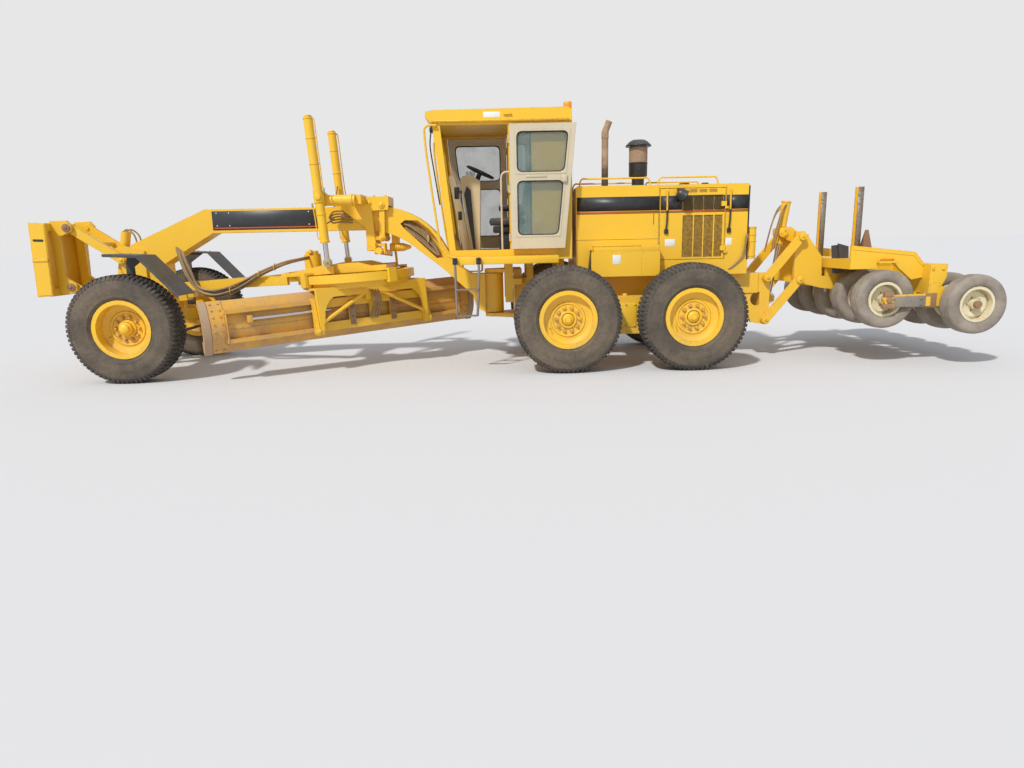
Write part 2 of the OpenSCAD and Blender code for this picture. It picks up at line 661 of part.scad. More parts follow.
module roller_frame() color(yellow) on_ground() {
    cross_bar(row_front[0], row_front[1], roller_spindle_d / 2,
        -2.3 * roller_pitch, 2.3 * roller_pitch);
    cross_bar(row_rear[0], row_rear[1], roller_spindle_d / 2,
        -2.5 * roller_pitch - 100, 2.5 * roller_pitch + 100);
    both_sides() {
        // hangers run in the gaps between the tyres of both rows
        for (y = [0.75, 1.75, 2.25] * roller_pitch) {
            side_plate([[row_front[0] + 60, row_front[1] - 50], [row_front[0] + 60, row_front[1] + 50],
                [hanger_x[1], 875], [hanger_x[0], 960], [row_rear[0] - 60, row_rear[1] + 50],
                [row_rear[0] - 60, row_rear[1] - 50]], y - 5, y + 5);
            side_plate([[hanger_x[1], 820], [hanger_x[1], 1000], [hanger_x[0] + 30, 1000],
                [hanger_x[0] + 30, 820]], y - 5, y + 5);
        }
        block([-9790, r_lug_y[0], arms_top], [-8800, r_lug_y[1], 1170]);
        side_plate([[-8780, 1457], [-9572, 1366], [-9700, 1217], [-9700, 1060], [-9547, 1030],
            [-9300, 1244], [-8881, 1275], [-8780, 1200]], 960, 1000);
        block([-9110, 470, 1290], [-9090, 550, 2170]);
        block([-9110, 470, 1290], [-9040, 482, 2170]);
        block([-9110, 538, 1290], [-9040, 550, 2170]);
    }
    block([-9130, -1000, 1170], [-8780, 1000, 1290]);
    block([-9430, 240, 1170], [-9120, 360, 1290]);
    side_plate([[-9682, 868], [-9790, 868], [-9890, 1060], [-9890, 1219], [-9682, 1219]],
        -pivot_y, pivot_y);
    // beams outside the front row, from its spindle to the pivot under the crossmember
    both_sides() {
        cross_bar(row_front[0], row_front[1], 62, pivot_y, pivot_y + 42);
        side_plate([[row_front[0], row_front[1] + 48], [row_front[0], row_front[1] - 48],
            [-9700, 720], [-9700, 835]], pivot_y, pivot_y + 34);
        block([-9780, pivot_y - 90, 705], [-9655, pivot_y + 20, 875]);
        // brackets over the front row's wheels
        block([-9330, 965, 1240], [-9100, 1075, 1262]);
    }
    // pointed plate behind the posts
    side_plate([[-9200, 1285], [-9300, 1640], [-9330, 1640], [-9420, 1285]], 290, 310);
}

// FRONT FRAME
window_deep = 110;
hose_window = [[-3231, 1842], [-3290, 1885], [-3457, 1878], [-3600, 1765], [-3690, 1650],
    [-3765, 1480], [-3790, 1400], [-3690, 1392], [-3445, 1625], [-3288, 1773]];
module front_frame() color(yellow) on_ground() {
    difference() {
        union() {
            side_plate(concat(
                [[285, 760], [285, 1641], [-708, neck_top]],
                arc(-2930, neck_top - 1000, 1000, 90, 144, 14),
                [[-3950, 1300], [-4150, hitch_z[1]], [-4320, hitch_z[1]], [-4320, hitch_z[0]],
                    [-4200, 720], [-4150, 900], [-3764, 1255]],
                arc(-2750, neck_bottom - 1050, 1050, 130, 90, 10),
                [[-792, neck_bottom], [-120, 1385], [-120, 760]]), -neck_y, neck_y);
            block([pivot_x, -hitch_r, hitch_z[0]], [-4300, hitch_r, hitch_z[1]]);
            translate([pivot_x, 0, hitch_z[0]])
                cylinder(h = hitch_z[1] - hitch_z[0], r = hitch_r);
        }
        translate([pivot_x, 0, hitch_z[0] - 1])
            cylinder(h = hitch_z[1] - hitch_z[0] + 2, r = pivot_d / 2 + fit);
        // windows where the hoses run inside
        both_sides() side_plate(hose_window, neck_y - window_deep, neck_y + 1);
    }
    // lock pin of the saddle, hung under the gooseneck
    block([-3190, -25, 1570], [-3090, 25, 1745]);
    translate([-3060, 0, 1541]) rotate([0, -90, 0]) rotate_extrude()
        polygon([[0, 0], [50, 0], [50, 190], [18, 280], [0, 280]]);
    // ball that carries the drawbar
    bar([-ball_back, 0, ball_z], [-120, 0, ball_z], 28);
    translate([-ball_back, 0, ball_z]) sphere(r = 50);
    // lugs of the front lift group
    both_sides() {
        difference() {
            side_plate([[110, 700], [110, 1560], [400, 1640], [530, 1580], [530, 1500], [440, 1420],
                [400, 1200], [420, 820], [485, 740], [485, 650], [400, 630]],
                f_lug_y[0], f_lug_y[1]);
            cross_bar(f_cyl_top[0], f_cyl_top[1], 30 + fit, 100, 200);
        }
        for (p = [f_up, f_low])
            cross_bar(p[0], p[1], link_pin_d / 2, f_lug_y[0], f_arm_y[1] + 12);
    }
}
arm_r = 66;
arm_y = 480;
arm_z = 2135;
leg_y = [neck_y, neck_y + 70];
module lift_saddle() color(yellow) on_ground() {
    // casting across the gooseneck's top
    block([-3104, -leg_y[1], neck_top], [-2632, leg_y[1], 2188]);
    block([-2800, -arm_y, 2085], [-2655, arm_y, 2200]);
    both_sides() {
        // round arm that carries a lift cylinder's trunnion
        difference() {
            union() {
                translate([-2730, arm_y, arm_z]) rotate([0, 90, 0]) cylinder(h = 420, r = arm_r);
                cross_bar(lift_top[0], lift_top[2], 78, arm_y - 60, arm_y + arm_r - 6);
            }
            cross_bar(lift_top[0], lift_top[2], 35 + fit, lift_y - 135, lift_y);
        }
        // leg beside the gooseneck, and the link bar behind it
        side_plate([[-2640, 2180], [-2460, 2085], [-2470, 2050], [-2790, 1800], [-2790, 1500],
            [-2915, 1500], [-2905, 1660], [-2885, 2010], [-3095, 2020], [-3095, 2180]],
            leg_y[0], leg_y[1]);
        side_plate([[-2975, 2060], [-3045, 2060], [-3028, 1670], [-2958, 1670]],
            leg_y[0] + 15, leg_y[1] - 15);
        cross_bar(-3008, 2080, 58, leg_y[0] + 2, leg_y[1] - 2);
        cross_bar(-2992, 1665, 46, leg_y[0] + 2, leg_y[1] - 2);
        block([-3000, leg_y[0] + 10, 1640], [-2895, leg_y[1] - 10, 1690]);
    }
    block([-2915, -leg_y[0] - 5, 1500], [-2835, leg_y[0] + 5, 1580]);
    // trunnion bracket of the centre shift cylinder
    block([-2990, leg_y[1] - 20, 1566], [-2835, 300, 1598]);
    block([-2905, leg_y[1] - 20, 1510], [-2835, 300, 1598]);
    along(shift_top, shift_eye) {
        both_sides() difference() {
            block([-98, 52, -45], [36, 72, 125]);
            cross_bar(0, 0, 20 + fit, 40, 80);
        }
        block([-98, -72, 85], [-66, 72, 125]);
    }
}

// FRONT AXLE AND STEERING
module front_axle() color(yellow) on_ground() difference() {
    union() {
        block([-100, -king_y + 60, 590], [100, king_y - 60, 740]);
        block([-100, -neck_y, 740], [100, neck_y, 760]);
        both_sides() translate([0, king_y, king_boss[0]])
            cylinder(h = king_boss[1] - king_boss[0], r = king_boss_r);
    }
    both_sides() translate([0, king_y, king_boss[0] - 1])
        cylinder(h = king_boss[1] - king_boss[0] + 2, r = kingpin_d / 2 + fit);
}
module knuckle_shape() {
    low = king_boss[0] - slide_gap - fork_t;
    high = king_boss[1] + slide_gap;
    translate([0, king_y, low]) cylinder(h = high - low + fork_t, r = kingpin_d / 2);
    for (z = [low, high]) {
        translate([0, king_y, z]) cylinder(h = fork_t, r = 80);
        block([-80, king_y, z], [80, fork_web[1], z + fork_t]);
    }
    block([-80, fork_web[0], low], [80, fork_web[1], high + fork_t]);
    spindle(0, fork_web[1] - 1);
    cross_bar(0, axle_z, 75, fork_web[1] - 1, fork_web[1] + 40);
    // steering arm and its pin
    block([-steer_arm, king_y - 30, low], [0, king_y + 30, low + fork_t]);
    translate([-steer_arm, king_y, low]) cylinder(h = fork_t, r = arm_eye_r);
    translate([-steer_arm, king_y, tie_rod_z - 24]) cylinder(h = low - tie_rod_z + 30, r = arm_pin_r);
}
module knuckle_left() color(yellow) on_ground() knuckle_shape();
module knuckle_right() color(yellow) on_ground() mirrored_right() knuckle_shape();
module tie_rod() color(black) on_ground() difference() {
    union() {
        cross_bar(-steer_arm, tie_rod_z, 19, -king_y, king_y);
        both_sides() translate([-steer_arm, king_y, tie_rod_z - 20]) cylinder(h = 40, r = arm_eye_r);
    }
    translate([-steer_arm, king_y, tie_rod_z - 30]) cylinder(h = 60, r = arm_pin_r + fit);
    translate([-steer_arm, -king_y, tie_rod_z - 30]) cylinder(h = 60, r = arm_pin_r + 0.5);
}
module fender_shape() {
    seat = king_boss[1] + slide_gap + fork_t;
    side_plate([[90, 1540], [-313, 1520], [-742, 1050], [-733, 1042], [-309, 1508], [90, 1528]],
        king_y + 15, 1230);
    side_plate([[-60, seat], [60, seat], [40, 1400], [10, 1526], [-250, 1512], [-60, 1380]],
        king_y + 40, king_y + 56);
}
module fender_left() color(yellow) on_ground() fender_shape();
module fender_right() color(yellow) on_ground() mirrored_right() fender_shape();

// FRONT LIFT GROUP
module front_upper_arms() color(yellow) on_ground() {
    both_sides() link(f_up, f_up_tip, 58, f_arm_y[0], f_arm_y[1], link_pin_d / 2 + fit);
    mid = (f_up + f_up_tip) / 2;
    cross_bar(mid[0], mid[1], 32, -f_arm_y[0] - 5, f_arm_y[0] + 5);
}
module front_lower_arms() color(yellow) on_ground() {
    both_sides() link(f_low, f_low_tip, 58, f_arm_y[0], f_arm_y[1], link_pin_d / 2 + fit);
    cross_bar(f_cyl_eye[0], f_cyl_eye[1], 30, -f_arm_y[0] - 5, f_arm_y[0] + 5);
}
module hitch_frame() color(yellow) on_ground() {
    both_sides() {
        side_plate([[950, 1900], [1000, 1962], [1215, 1957], [1215, 1035], [1050, 1035],
            [985, 1080], [985, 1160], [1110, 1250], [1110, 1760], [950, 1830]],
            f_arm_y[1] + body_gap, f_arm_y[1] + 50);
        for (p = [f_up_tip, f_low_tip])
            cross_bar(p[0], p[1], link_pin_d / 2, f_arm_y[0] - 12, f_arm_y[1] + 20);
        side_plate([[1377, 1940], [1172, 1929], [1197, 1020], [1395, 1009]], 400, 450);
    }
    for (z = [1015, 1835]) block([1200, -440, z], [1370, 440, z + 95]);
    // coupling plate with its four bolt holes
    difference() {
        block([1340, -440, 1015], [1370, 440, 1930]);
        for (y = [-coupling[0] / 2, coupling[0] / 2], z = [-coupling[1] / 2, coupling[1] / 2])
            translate([1330, y, 1472.5 + z]) rotate([0, 90, 0]) cylinder(h = 50, r = coupling[2]);
    }
}
module front_lift_barrel() color(yellow) on_ground()
    along(at_y(f_cyl_top, 0), at_y(f_cyl_eye, 0)) barrel(60, 30, 260, 330, 30, f_lug_y[1]);
module front_lift_rod() color(chrome) on_ground()
    along(at_y(f_cyl_top, 0), at_y(f_cyl_eye, 0))
        rod(30, 180, norm(f_cyl_eye - f_cyl_top), 84, 56, 60);

// DRAWBAR, CIRCLE AND BLADE
module in_drawbar() {
    on_ground() translate([-ball_back, 0, ball_z]) rotate([0, drawbar_tilt, 0]) children();
}
module in_circle() {
    in_drawbar() translate([-circle_back, 0, 0]) rotate([0, 0, -blade_angle]) children();
}
beam_y = [430, 520];
over_ring = [ring_top + 10, ring_top + 130];
rear_top = over_ring[1] - 50;
module drawbar() color(yellow) in_drawbar() {
    difference() {
        union() {
            block([-100, -84, -84], [12, 84, 84]);
            block([-190, -70, -50], [-90, 70, 150]);
        }
        sphere(r = 50 + fit);
        // grease hole
        cylinder(h = 200, r = 9, center = true);
    }
    both_sides() {
        // beam that widens towards the circle, then steps over the ring
        translate([0, 0, 40]) linear_extrude(115)
            polygon([[-60, 0], [-60, 70], [-1500, beam_y[1]], [-1585, beam_y[1]],
                [-1585, beam_y[0] - 12], [-190, 0]]);
        side_plate([[-2860, over_ring[0]], [-2860, rear_top], [-2660, rear_top],
            [-2500, over_ring[1]], [-2085, over_ring[1]],
            [-1490, 158], [-1490, 37], [-1588, 37], [-1588, over_ring[0]]], beam_y[0], beam_y[1]);
        // lift brackets
        block([lift_ball[0] - 60, beam_y[1] - 1, over_ring[0] + 6], [lift_ball[0] + 60, 594, 235]);
        side_plate([[lift_ball[0] - 60, 160], [lift_ball[0] + 60, 160],
            [lift_ball[0] + 34, lift_ball[1]], [lift_ball[0] - 34, lift_ball[1]]], 552, 572);
        cross_bar(lift_ball[0], lift_ball[1], 36, 552, 572);
    }
    for (x = [-1620, -2850])
        block([x, -beam_y[1] + 8, over_ring[0] + 5], [x + 100, beam_y[1] - 8, rear_top - 15]);
    // shoes that hold the ring
    for (a = [45, 135, 225, 315]) translate([-circle_back, 0, 0]) rotate([0, 0, a]) {
        block([ring_r + body_gap, -60, header_top + 7], [ring_r + 45, 60, over_ring[0] + 20]);
        block([ring_r - 40, -60, header_top + 7], [ring_r + 45, 60, shoe_top]);
        block([440, -60, over_ring[0] + 4], [ring_r + 45, 60, over_ring[0] + 30]);
    }
    // circle drive
    block([-1900, -beam_y[1] + 8, over_ring[0] + 5], [-1720, beam_y[1] - 8, over_ring[0] + 60]);
    translate([-1810, 0, over_ring[0]]) cylinder(h = 260, r = 110);
    // bracket beside the centre shift rod's eye
    block([-2867, -beam_y[1] + 5, over_ring[0] + 20], [-2843, -beam_y[0] - 15, 325]);
    translate([-2867, shift_ball[1], shift_ball[2]]) rotate([0, 90, 0]) cylinder(h = 24, r = 48);
}
module blade_circle() color(yellow) in_circle() {
    difference() {
        union() {
            translate([0, 0, ring_top - ring_t]) cylinder(h = ring_t, r = ring_r, $fn = 128);
            translate([0, 0, collar_low]) cylinder(h = ring_top - collar_low, r = collar_r, $fn = 128);
        }
        translate([0, 0, collar_low - 1]) cylinder(h = 300, r = ring_in_r, $fn = 128);
    }
    // header under the ring and the drop arms
    difference() {
        block([arm_back, -arm_u[1], collar_low], [-150, arm_u[1], header_top]);
        block([-380, -560, collar_low - 1], [-149, 560, header_top + 1]);
    }
    block([arm_back, -arm_u[1], collar_low - 90], [arm_front, arm_u[1], collar_low + 5]);
    both_sides() {
        side_plate([[arm_back, header_top], [-150, header_top], [-150, collar_low],
            [arm_front, collar_low], [arm_front, pitch_axis[1] + 12], pitch_axis,
            [arm_back, pitch_axis[1] + 12]], arm_u[0], arm_u[1]);
        cross_bar(pitch_axis[0], pitch_axis[1], pitch_pin_r + 17, arm_u[0], arm_u[1]);
        cross_bar(pitch_axis[0], pitch_axis[1], pitch_pin_r, arm_u[0], arm_u[1] + 58);
        // web that rounds the corner between header and arm
        translate([arm_back, 0, 0]) rotate([90, 0, 90]) linear_extrude(30)
            polygon(concat([[arm_u[1] - 2, collar_low - 5], [arm_u[1] - 2, pitch_axis[1] + 110],
                [arm_u[0] - 20, pitch_axis[1] + 110]], arc(380, -390, 300, 0, 90, 6)));
        // brace from the header's middle to the arm's foot
        bar([brace_x, 95, collar_low - 70], [brace_x, arm_u[0] + 10, pitch_axis[1] + 110], brace_r);
    }
    block([arm_back + 2, -110, collar_low - 170], [arm_front - 2, -40, collar_low]);
    block([arm_back + 2, 40, collar_low - 170], [arm_front - 2, 110, collar_low]);
}
brace_r = 24;
brace_x = arm_back + 30;
carrier_post = 42;
module blade_carrier() color(yellow) in_circle() {
    x0 = carrier_x[0];
    x1 = carrier_x[1];
    end = arm_u[1] + 45;
    block([x0, -end, lower_rail_h[0]], [x1, end, lower_rail_h[1] + 60]);
    block([x0, -end, upper_rail_h[0] - 60], [x1, end, upper_rail_h[1]]);
    for (u = [-285, 0, 285])
        block([x0, u - carrier_post, lower_rail_h[0]], [x1, u + carrier_post, upper_rail_h[1]]);
    // claws over the upper rail and under the lower rail
    both_sides() {
        block([x0, end - 85, upper_rail_h[1] + slide_gap], [x1 + 45, end, upper_rail_h[1] + 25]);
        block([x0, end - 85, lower_rail_h[0] - 25], [x1 + 45, end, lower_rail_h[0] - slide_gap]);
        block([x0, end - 85, lower_rail_h[0] - 25], [x1, end, upper_rail_h[1] + 25]);
    }
    both_sides() difference() {
        union() {
            side_plate([[carrier_x[1], upper_rail_h[1]], [carrier_x[0], upper_rail_h[1]],
                [pitch_axis[0] - 20, pitch_axis[1] + 45], [pitch_axis[0], pitch_axis[1] - 45],
                [carrier_x[1], lower_rail_h[0] - 25]], arm_u[1] + body_gap, arm_u[1] + 45);
            cross_bar(pitch_axis[0], pitch_axis[1], 48, arm_u[1] + body_gap, arm_u[1] + 45);
        }
        cross_bar(pitch_axis[0], pitch_axis[1], pitch_pin_r + fit, 0, 1000);
    }
}
module blade() color(yellow) in_circle() {
    half_h = blade_h / 2;
    out_r = blade_r + blade_t;
    in_a = asin(half_h / blade_r);
    out_a = asin(half_h / out_r);
    low = -blade_l / 2 + blade_shift;
    high = blade_l / 2 + blade_shift;
    side_plate(concat(
        arc(blade_arc_x, blade_mid_h, blade_r, 180 - in_a, 180 + in_a, 24),
        arc(blade_arc_x, blade_mid_h, out_r, 180 + out_a, 180 - out_a, 24)), low, high);
    // rails behind the blade
    for (h = [upper_rail_h, lower_rail_h])
        block([rail_back_x, low + 250, h[0]], [blade_back_x + 30, high - 250, h[1]]);
    // end plates and cutting edge
    for (u = [low, high - 20])
        side_plate(concat(
            arc(blade_arc_x, blade_mid_h, blade_r - 40, 180 - in_a, 180 + in_a, 12),
            arc(blade_arc_x, blade_mid_h, out_r, 180 + out_a, 180 - out_a, 12)), u, u + 20);
    edge_x = blade_arc_x - blade_r * cos(in_a);
    block([edge_x - 10, low, blade_mid_h - half_h], [edge_x + 15, high, blade_mid_h - half_h + 150]);
}

// Cylinders of the drawbar; the right one mirrors the left one
lift_len = norm(lift_eye - lift_top);
module lift_barrel_left() along(lift_top, lift_eye) {
    difference() {
        translate([0, 0, -933]) cylinder(h = 933 + 543, r = lift_barrel_d / 2);
        translate([0, 0, -903]) cylinder(h = 933 + 543, r = lift_rod_d / 2 + slide_gap);
    }
    difference() {
        cross_bar(0, 0, 35, 0, 130);
        translate([0, 0, -900]) cylinder(h = 1800, r = lift_barrel_d / 2 - 5);
    }
    difference() {
        translate([0, 0, -70]) cylinder(h = 140, r = lift_barrel_d / 2 + 8);
        translate([0, 0, -71]) cylinder(h = 142, r = lift_barrel_d / 2 - 5);
    }
}
module lift_barrels() color(black) on_ground() both_sides() lift_barrel_left();
module lift_rods() color(chrome) on_ground() both_sides() along(lift_top, lift_eye)
    rod(lift_rod_d / 2, 815, lift_len, 56, 25, eye_t);
module shift_barrel() color(black) on_ground() along(shift_top, shift_eye)
    barrel(42, 22, 110, 660, 20, 72);
module shift_rod() color(chrome) on_ground() along(shift_top, shift_eye) {
    len = norm(shift_eye - shift_top);
    rod(22, 20, len, 42, 20, 36);
}

// Wheels by name
module tyre_tandem_front_left() tyre(tandem_front_x, 1);
module tyre_tandem_front_right() tyre(tandem_front_x, -1);
module tyre_tandem_rear_left() tyre(tandem_rear_x, 1);
module tyre_tandem_rear_right() tyre(tandem_rear_x, -1);
module rim_tandem_front_left() rim(tandem_front_x, 1, false);
module rim_tandem_front_right() rim(tandem_front_x, -1, false);
module rim_tandem_rear_left() rim(tandem_rear_x, 1, false);
module rim_tandem_rear_right() rim(tandem_rear_x, -1, false);
module tyre_front_left() tyre(0, 1);
module tyre_front_right() tyre(0, -1);
module rim_front_left() rim(0, 1, true);
module rim_front_right() rim(0, -1, true);

rear_frame();
tandems();
engine();
hood();
exhaust();
air_intake();
cab_frame();
cab_roof();
cab_windows();
operator_seat();
console();
platforms();
tyre_tandem_front_left();
tyre_tandem_front_right();
tyre_tandem_rear_left();
tyre_tandem_rear_right();
rim_tandem_front_left();
rim_tandem_front_right();
rim_tandem_rear_left();
rim_tandem_rear_right();
cab_door_left();
cab_door_right();
engine_door_left();
engine_door_right();
rear_upper_links();
rear_lower_links();
tool_carrier();
rear_lift_barrel();
rear_lift_rod();
roller_frame();
roller_front_tyres();
roller_front_rims();
roller_rear_tyres();
roller_rear_rims();
front_frame();
lift_saddle();
front_axle();
knuckle_left();
knuckle_right();
fender_left();
fender_right();
tie_rod();
tyre_front_left();
tyre_front_right();
rim_front_left();
rim_front_right();
drawbar();
blade_circle();
blade_carrier();
blade();
lift_barrels();
lift_rods();
shift_barrel();
shift_rod();
front_upper_arms();
front_lower_arms();
hitch_frame();
front_lift_barrel();
front_lift_rod();
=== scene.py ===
"""Looks of an articulated motor grader with a front lift group and a rear roller.

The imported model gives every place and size; each section below dresses one group of pieces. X
runs forward, Y to the machine's left, Z up, all in metres.
"""
import math

import bmesh
import bpy
from mathutils import Matrix, Vector


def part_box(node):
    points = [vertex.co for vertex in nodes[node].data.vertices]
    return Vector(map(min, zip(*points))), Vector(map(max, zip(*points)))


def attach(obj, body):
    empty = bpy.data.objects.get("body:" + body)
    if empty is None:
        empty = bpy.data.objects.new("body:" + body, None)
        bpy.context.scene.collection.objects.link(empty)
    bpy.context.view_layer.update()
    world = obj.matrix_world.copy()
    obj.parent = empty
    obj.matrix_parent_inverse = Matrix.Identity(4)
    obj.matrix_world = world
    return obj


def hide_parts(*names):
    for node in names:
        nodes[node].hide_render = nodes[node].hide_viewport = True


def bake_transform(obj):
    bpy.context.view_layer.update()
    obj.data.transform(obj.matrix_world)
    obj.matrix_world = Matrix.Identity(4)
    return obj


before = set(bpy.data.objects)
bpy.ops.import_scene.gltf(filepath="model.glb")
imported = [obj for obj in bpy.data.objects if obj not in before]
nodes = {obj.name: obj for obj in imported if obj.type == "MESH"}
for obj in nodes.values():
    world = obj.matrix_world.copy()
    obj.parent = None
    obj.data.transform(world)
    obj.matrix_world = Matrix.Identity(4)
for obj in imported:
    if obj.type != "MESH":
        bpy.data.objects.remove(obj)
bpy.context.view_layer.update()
sides = (1, -1)
hands = ((1, "left"), (-1, "right"))


# CAMERA
# A hand-held phone stood about nine and a half metres off the left side, level with the
# driver's feet, pointing a little down at the ground.
def aim(place, yaw, pitch, roll, lens):
    turn = Matrix.Rotation(yaw, 3, "Z")
    right, ahead, up = turn @ Vector((-1, 0, 0)), turn @ Vector((0, -1, 0)), Vector((0, 0, 1))
    look = math.cos(pitch) * ahead - math.sin(pitch) * up
    lift = math.sin(pitch) * ahead + math.cos(pitch) * up
    side = math.cos(roll) * right + math.sin(roll) * lift
    lift = -math.sin(roll) * right + math.cos(roll) * lift
    camera = bpy.data.objects.new("camera", bpy.data.cameras.new("camera"))
    camera.data.lens, camera.data.sensor_width = lens, 36
    camera.matrix_world = Matrix.Translation(place) @ Matrix((side, lift,
                                                              -look)).transposed().to_4x4()
    bpy.context.collection.objects.link(camera)
    bpy.context.scene.camera = camera


aim((0.0629, 9.5553, 1.6165), -0.01585, 0.20416, -0.02065, 24.609)


# GRADER PAINT
# The weldments are shot-blasted steel under one coat of strong yellow paint. Sun has chalked it,
# dust sits on upward faces and in the low parts, and corners and edges show brown primer.
class Wire:
    """A node's output, with the arithmetic that shader formulas use."""

    tree = None

    def __init__(self, socket):
        self.socket = socket

    @classmethod
    def node(cls, kind, settings=None, out=0, **inputs):
        made = cls.tree.nodes.new("ShaderNode" + kind)
        for key, value in (settings or {}).items():
            setattr(made, key, value)
        for key, value in inputs.items():
            numbered = key[0] == "i" and key[1:].isdigit()
            socket = made.inputs[int(key[1:]) if numbered else key.replace("_", " ")]
            if isinstance(value, Wire):
                cls.tree.links.new(value.socket, socket)
            elif hasattr(value, "__len__") and len(value) == 3 and socket.type == "RGBA":
                socket.default_value = (*value, 1)
            else:
                socket.default_value = value
        return cls(made.outputs[out])

    def maths(self, operation, other=0.0, swap=False):
        pair = (other, self) if swap else (self, other)
        return Wire.node("Math", {"operation": operation}, i0=pair[0], i1=pair[1])

    def __add__(self, other):
        return self.maths("ADD", other)

    def __sub__(self, other):
        return self.maths("SUBTRACT", other)

    def __rsub__(self, other):
        return self.maths("SUBTRACT", other, swap=True)

    def __mul__(self, other):
        return self.maths("MULTIPLY", other)

    __radd__, __rmul__ = __add__, __mul__

    def most(self, other):
        return self.maths("MAXIMUM", other)

    def least(self, other):
        return self.maths("MINIMUM", other)

    def step(self, low, high):
        """0 below low, 1 above high, smooth between."""
        return Wire.node("MapRange", {"interpolation_type": "SMOOTHSTEP"}, i0=self, i1=low,
                         i2=high)

    def tint(self, first, second):
        """first where this is 0, second where it is 1."""
        return Wire.node("Mix", {"data_type": "RGBA"}, out=2, i0=self, i6=first, i7=second)


def place():
    return Wire.node("TexCoord", out=3)


def axis_of(vector, letter):
    return Wire.node("SeparateXYZ", out="XYZ".index(letter), i0=vector)


def noise(scale, detail=4.0, rough=0.55, stretch=None):
    at = place()
    if stretch:
        at = Wire.node("Mapping", i0=at, i3=stretch)
    return Wire.node("TexNoise", i0=at, Scale=scale, Detail=detail, Roughness=rough)


def finish_of(name, surface, **plain):
    """A material whose formulas come from surface(): a dict of socket name to Wire or value."""
    made = bpy.data.materials.new(name)
    made.use_nodes = True
    Wire.tree = made.node_tree
    shader = made.node_tree.nodes["Principled BSDF"]
    for key, value in {**surface(), **plain}.items():
        if isinstance(value, Wire):
            made.node_tree.links.new(value.socket, shader.inputs[key])
        else:
            shader.inputs[key].default_value = value
    return made


def rounded_normal(radius):
    """The normal that a small bevel would give, so that plate edges catch the light."""
    return Wire.node("Bevel", {"samples": 4}, Radius=radius)


def edge_wear(soft):
    """1 on corners, from the bevelled normal's turn against the true one."""
    true = Wire.node("NewGeometry", out=1)
    return 1 - Wire.node("VectorMath", {"operation": "DOT_PRODUCT"}, out=1, i0=soft, i1=true)


def upward():
    return axis_of(Wire.node("NewGeometry", out=1), "Z")


def paint(name, colour, dust=0.35, dust_top=1.3, wear=0.5, rust=(0.16, 0.07, 0.03), chalk=0.25,
          edge=0.008, gloss=0.36, soil_colour=(0.40, 0.28, 0.16)):
    """Coach paint on steel, with chalking, settled dust, worn edges and rust runs."""
    def surface():
        soft = rounded_normal(edge)
        cloudy, fine, speck = noise(0.9, 5), noise(11, 6), noise(60, 3)
        faded = tuple(c * (1 - 0.3 * chalk) + 0.05 * chalk for c in colour)
        base = cloudy.step(0.35, 0.7).tint(colour, faded)
        base = (fine.step(0.5, 0.78) * chalk).tint(base, tuple(0.78 * c + 0.06 for c in colour))
        low = 1 - axis_of(place(), "Z").step(0.15, dust_top)
        patches = noise(3.5, 8, 0.7).step(0.38, 0.66)
        soil = ((upward().step(0.3, 0.95) * 0.7 + low * 0.9) * patches * dust).least(1.0)
        base = soil.tint(base, soil_colour)
        chips = (edge_wear(soft) * 9 * noise(28, 5).step(0.46, 0.6) * wear).least(1.0)
        nicks = noise(17, 9, 0.75).step(0.70, 0.73) * min(wear, 1.0)
        base = chips.most(nicks).tint(base, rust)
        runs = noise(7, 4, stretch=(6, 6, 0.35)).step(0.58, 0.8) * 0.22 * min(dust, 1.0)
        base = runs.tint(base, (0.30, 0.17, 0.07))
        bumps = Wire.node("Bump", Height=speck * 0.4 - chips * 0.8, Strength=0.18, Distance=0.002,
                          Normal=soft)
        return {"Base Color": base, "Roughness": gloss + soil * 0.4 + chips * 0.3 + speck * 0.08,
                "Normal": bumps}

    return finish_of(name, surface)


def dress(material, *names):
    for name in names:
        mesh = nodes[name].data
        mesh.materials.clear()
        mesh.materials.append(material)


BRIGHT = (0.86, 0.50, 0.022)
yellow = paint("machine_yellow", BRIGHT)
worn_yellow = paint("blade_yellow", (0.72, 0.39, 0.05), dust=1.5, dust_top=1.6, wear=1.6,
                    rust=(0.33, 0.14, 0.05), chalk=0.8, soil_colour=(0.52, 0.30, 0.12))
black = paint("black_enamel", (0.018, 0.018, 0.019), dust=0.35, dust_top=0.9, wear=0.1,
              rust=(0.10, 0.06, 0.04))
steel_grey = paint("grey_steel", (0.20, 0.19, 0.17), dust=0.7, dust_top=2.2, wear=1.0,
                   rust=(0.20, 0.10, 0.05), chalk=0.6)
dress(yellow, "rear_frame", "tandems", "hood", "cab_frame", "cab_roof", "tool_carrier",
      "rear_upper_links", "rear_lower_links", "front_frame", "lift_saddle", "front_axle",
      "knuckle_left", "knuckle_right", "drawbar", "blade_circle", "blade_carrier", "platforms",
      "front_upper_arms", "front_lower_arms", "hitch_frame", "front_lift_barrel", "lift_barrels",
      "shift_barrel", "rear_lift_barrel", "engine_door_left", "engine_door_right",
      "roller_frame", "rim_tandem_front_left", "rim_tandem_front_right",
      "rim_tandem_rear_left", "rim_tandem_rear_right", "rim_front_left", "rim_front_right")
dress(worn_yellow, "blade")
dress(black, "tie_rod")
dress(steel_grey, "engine")


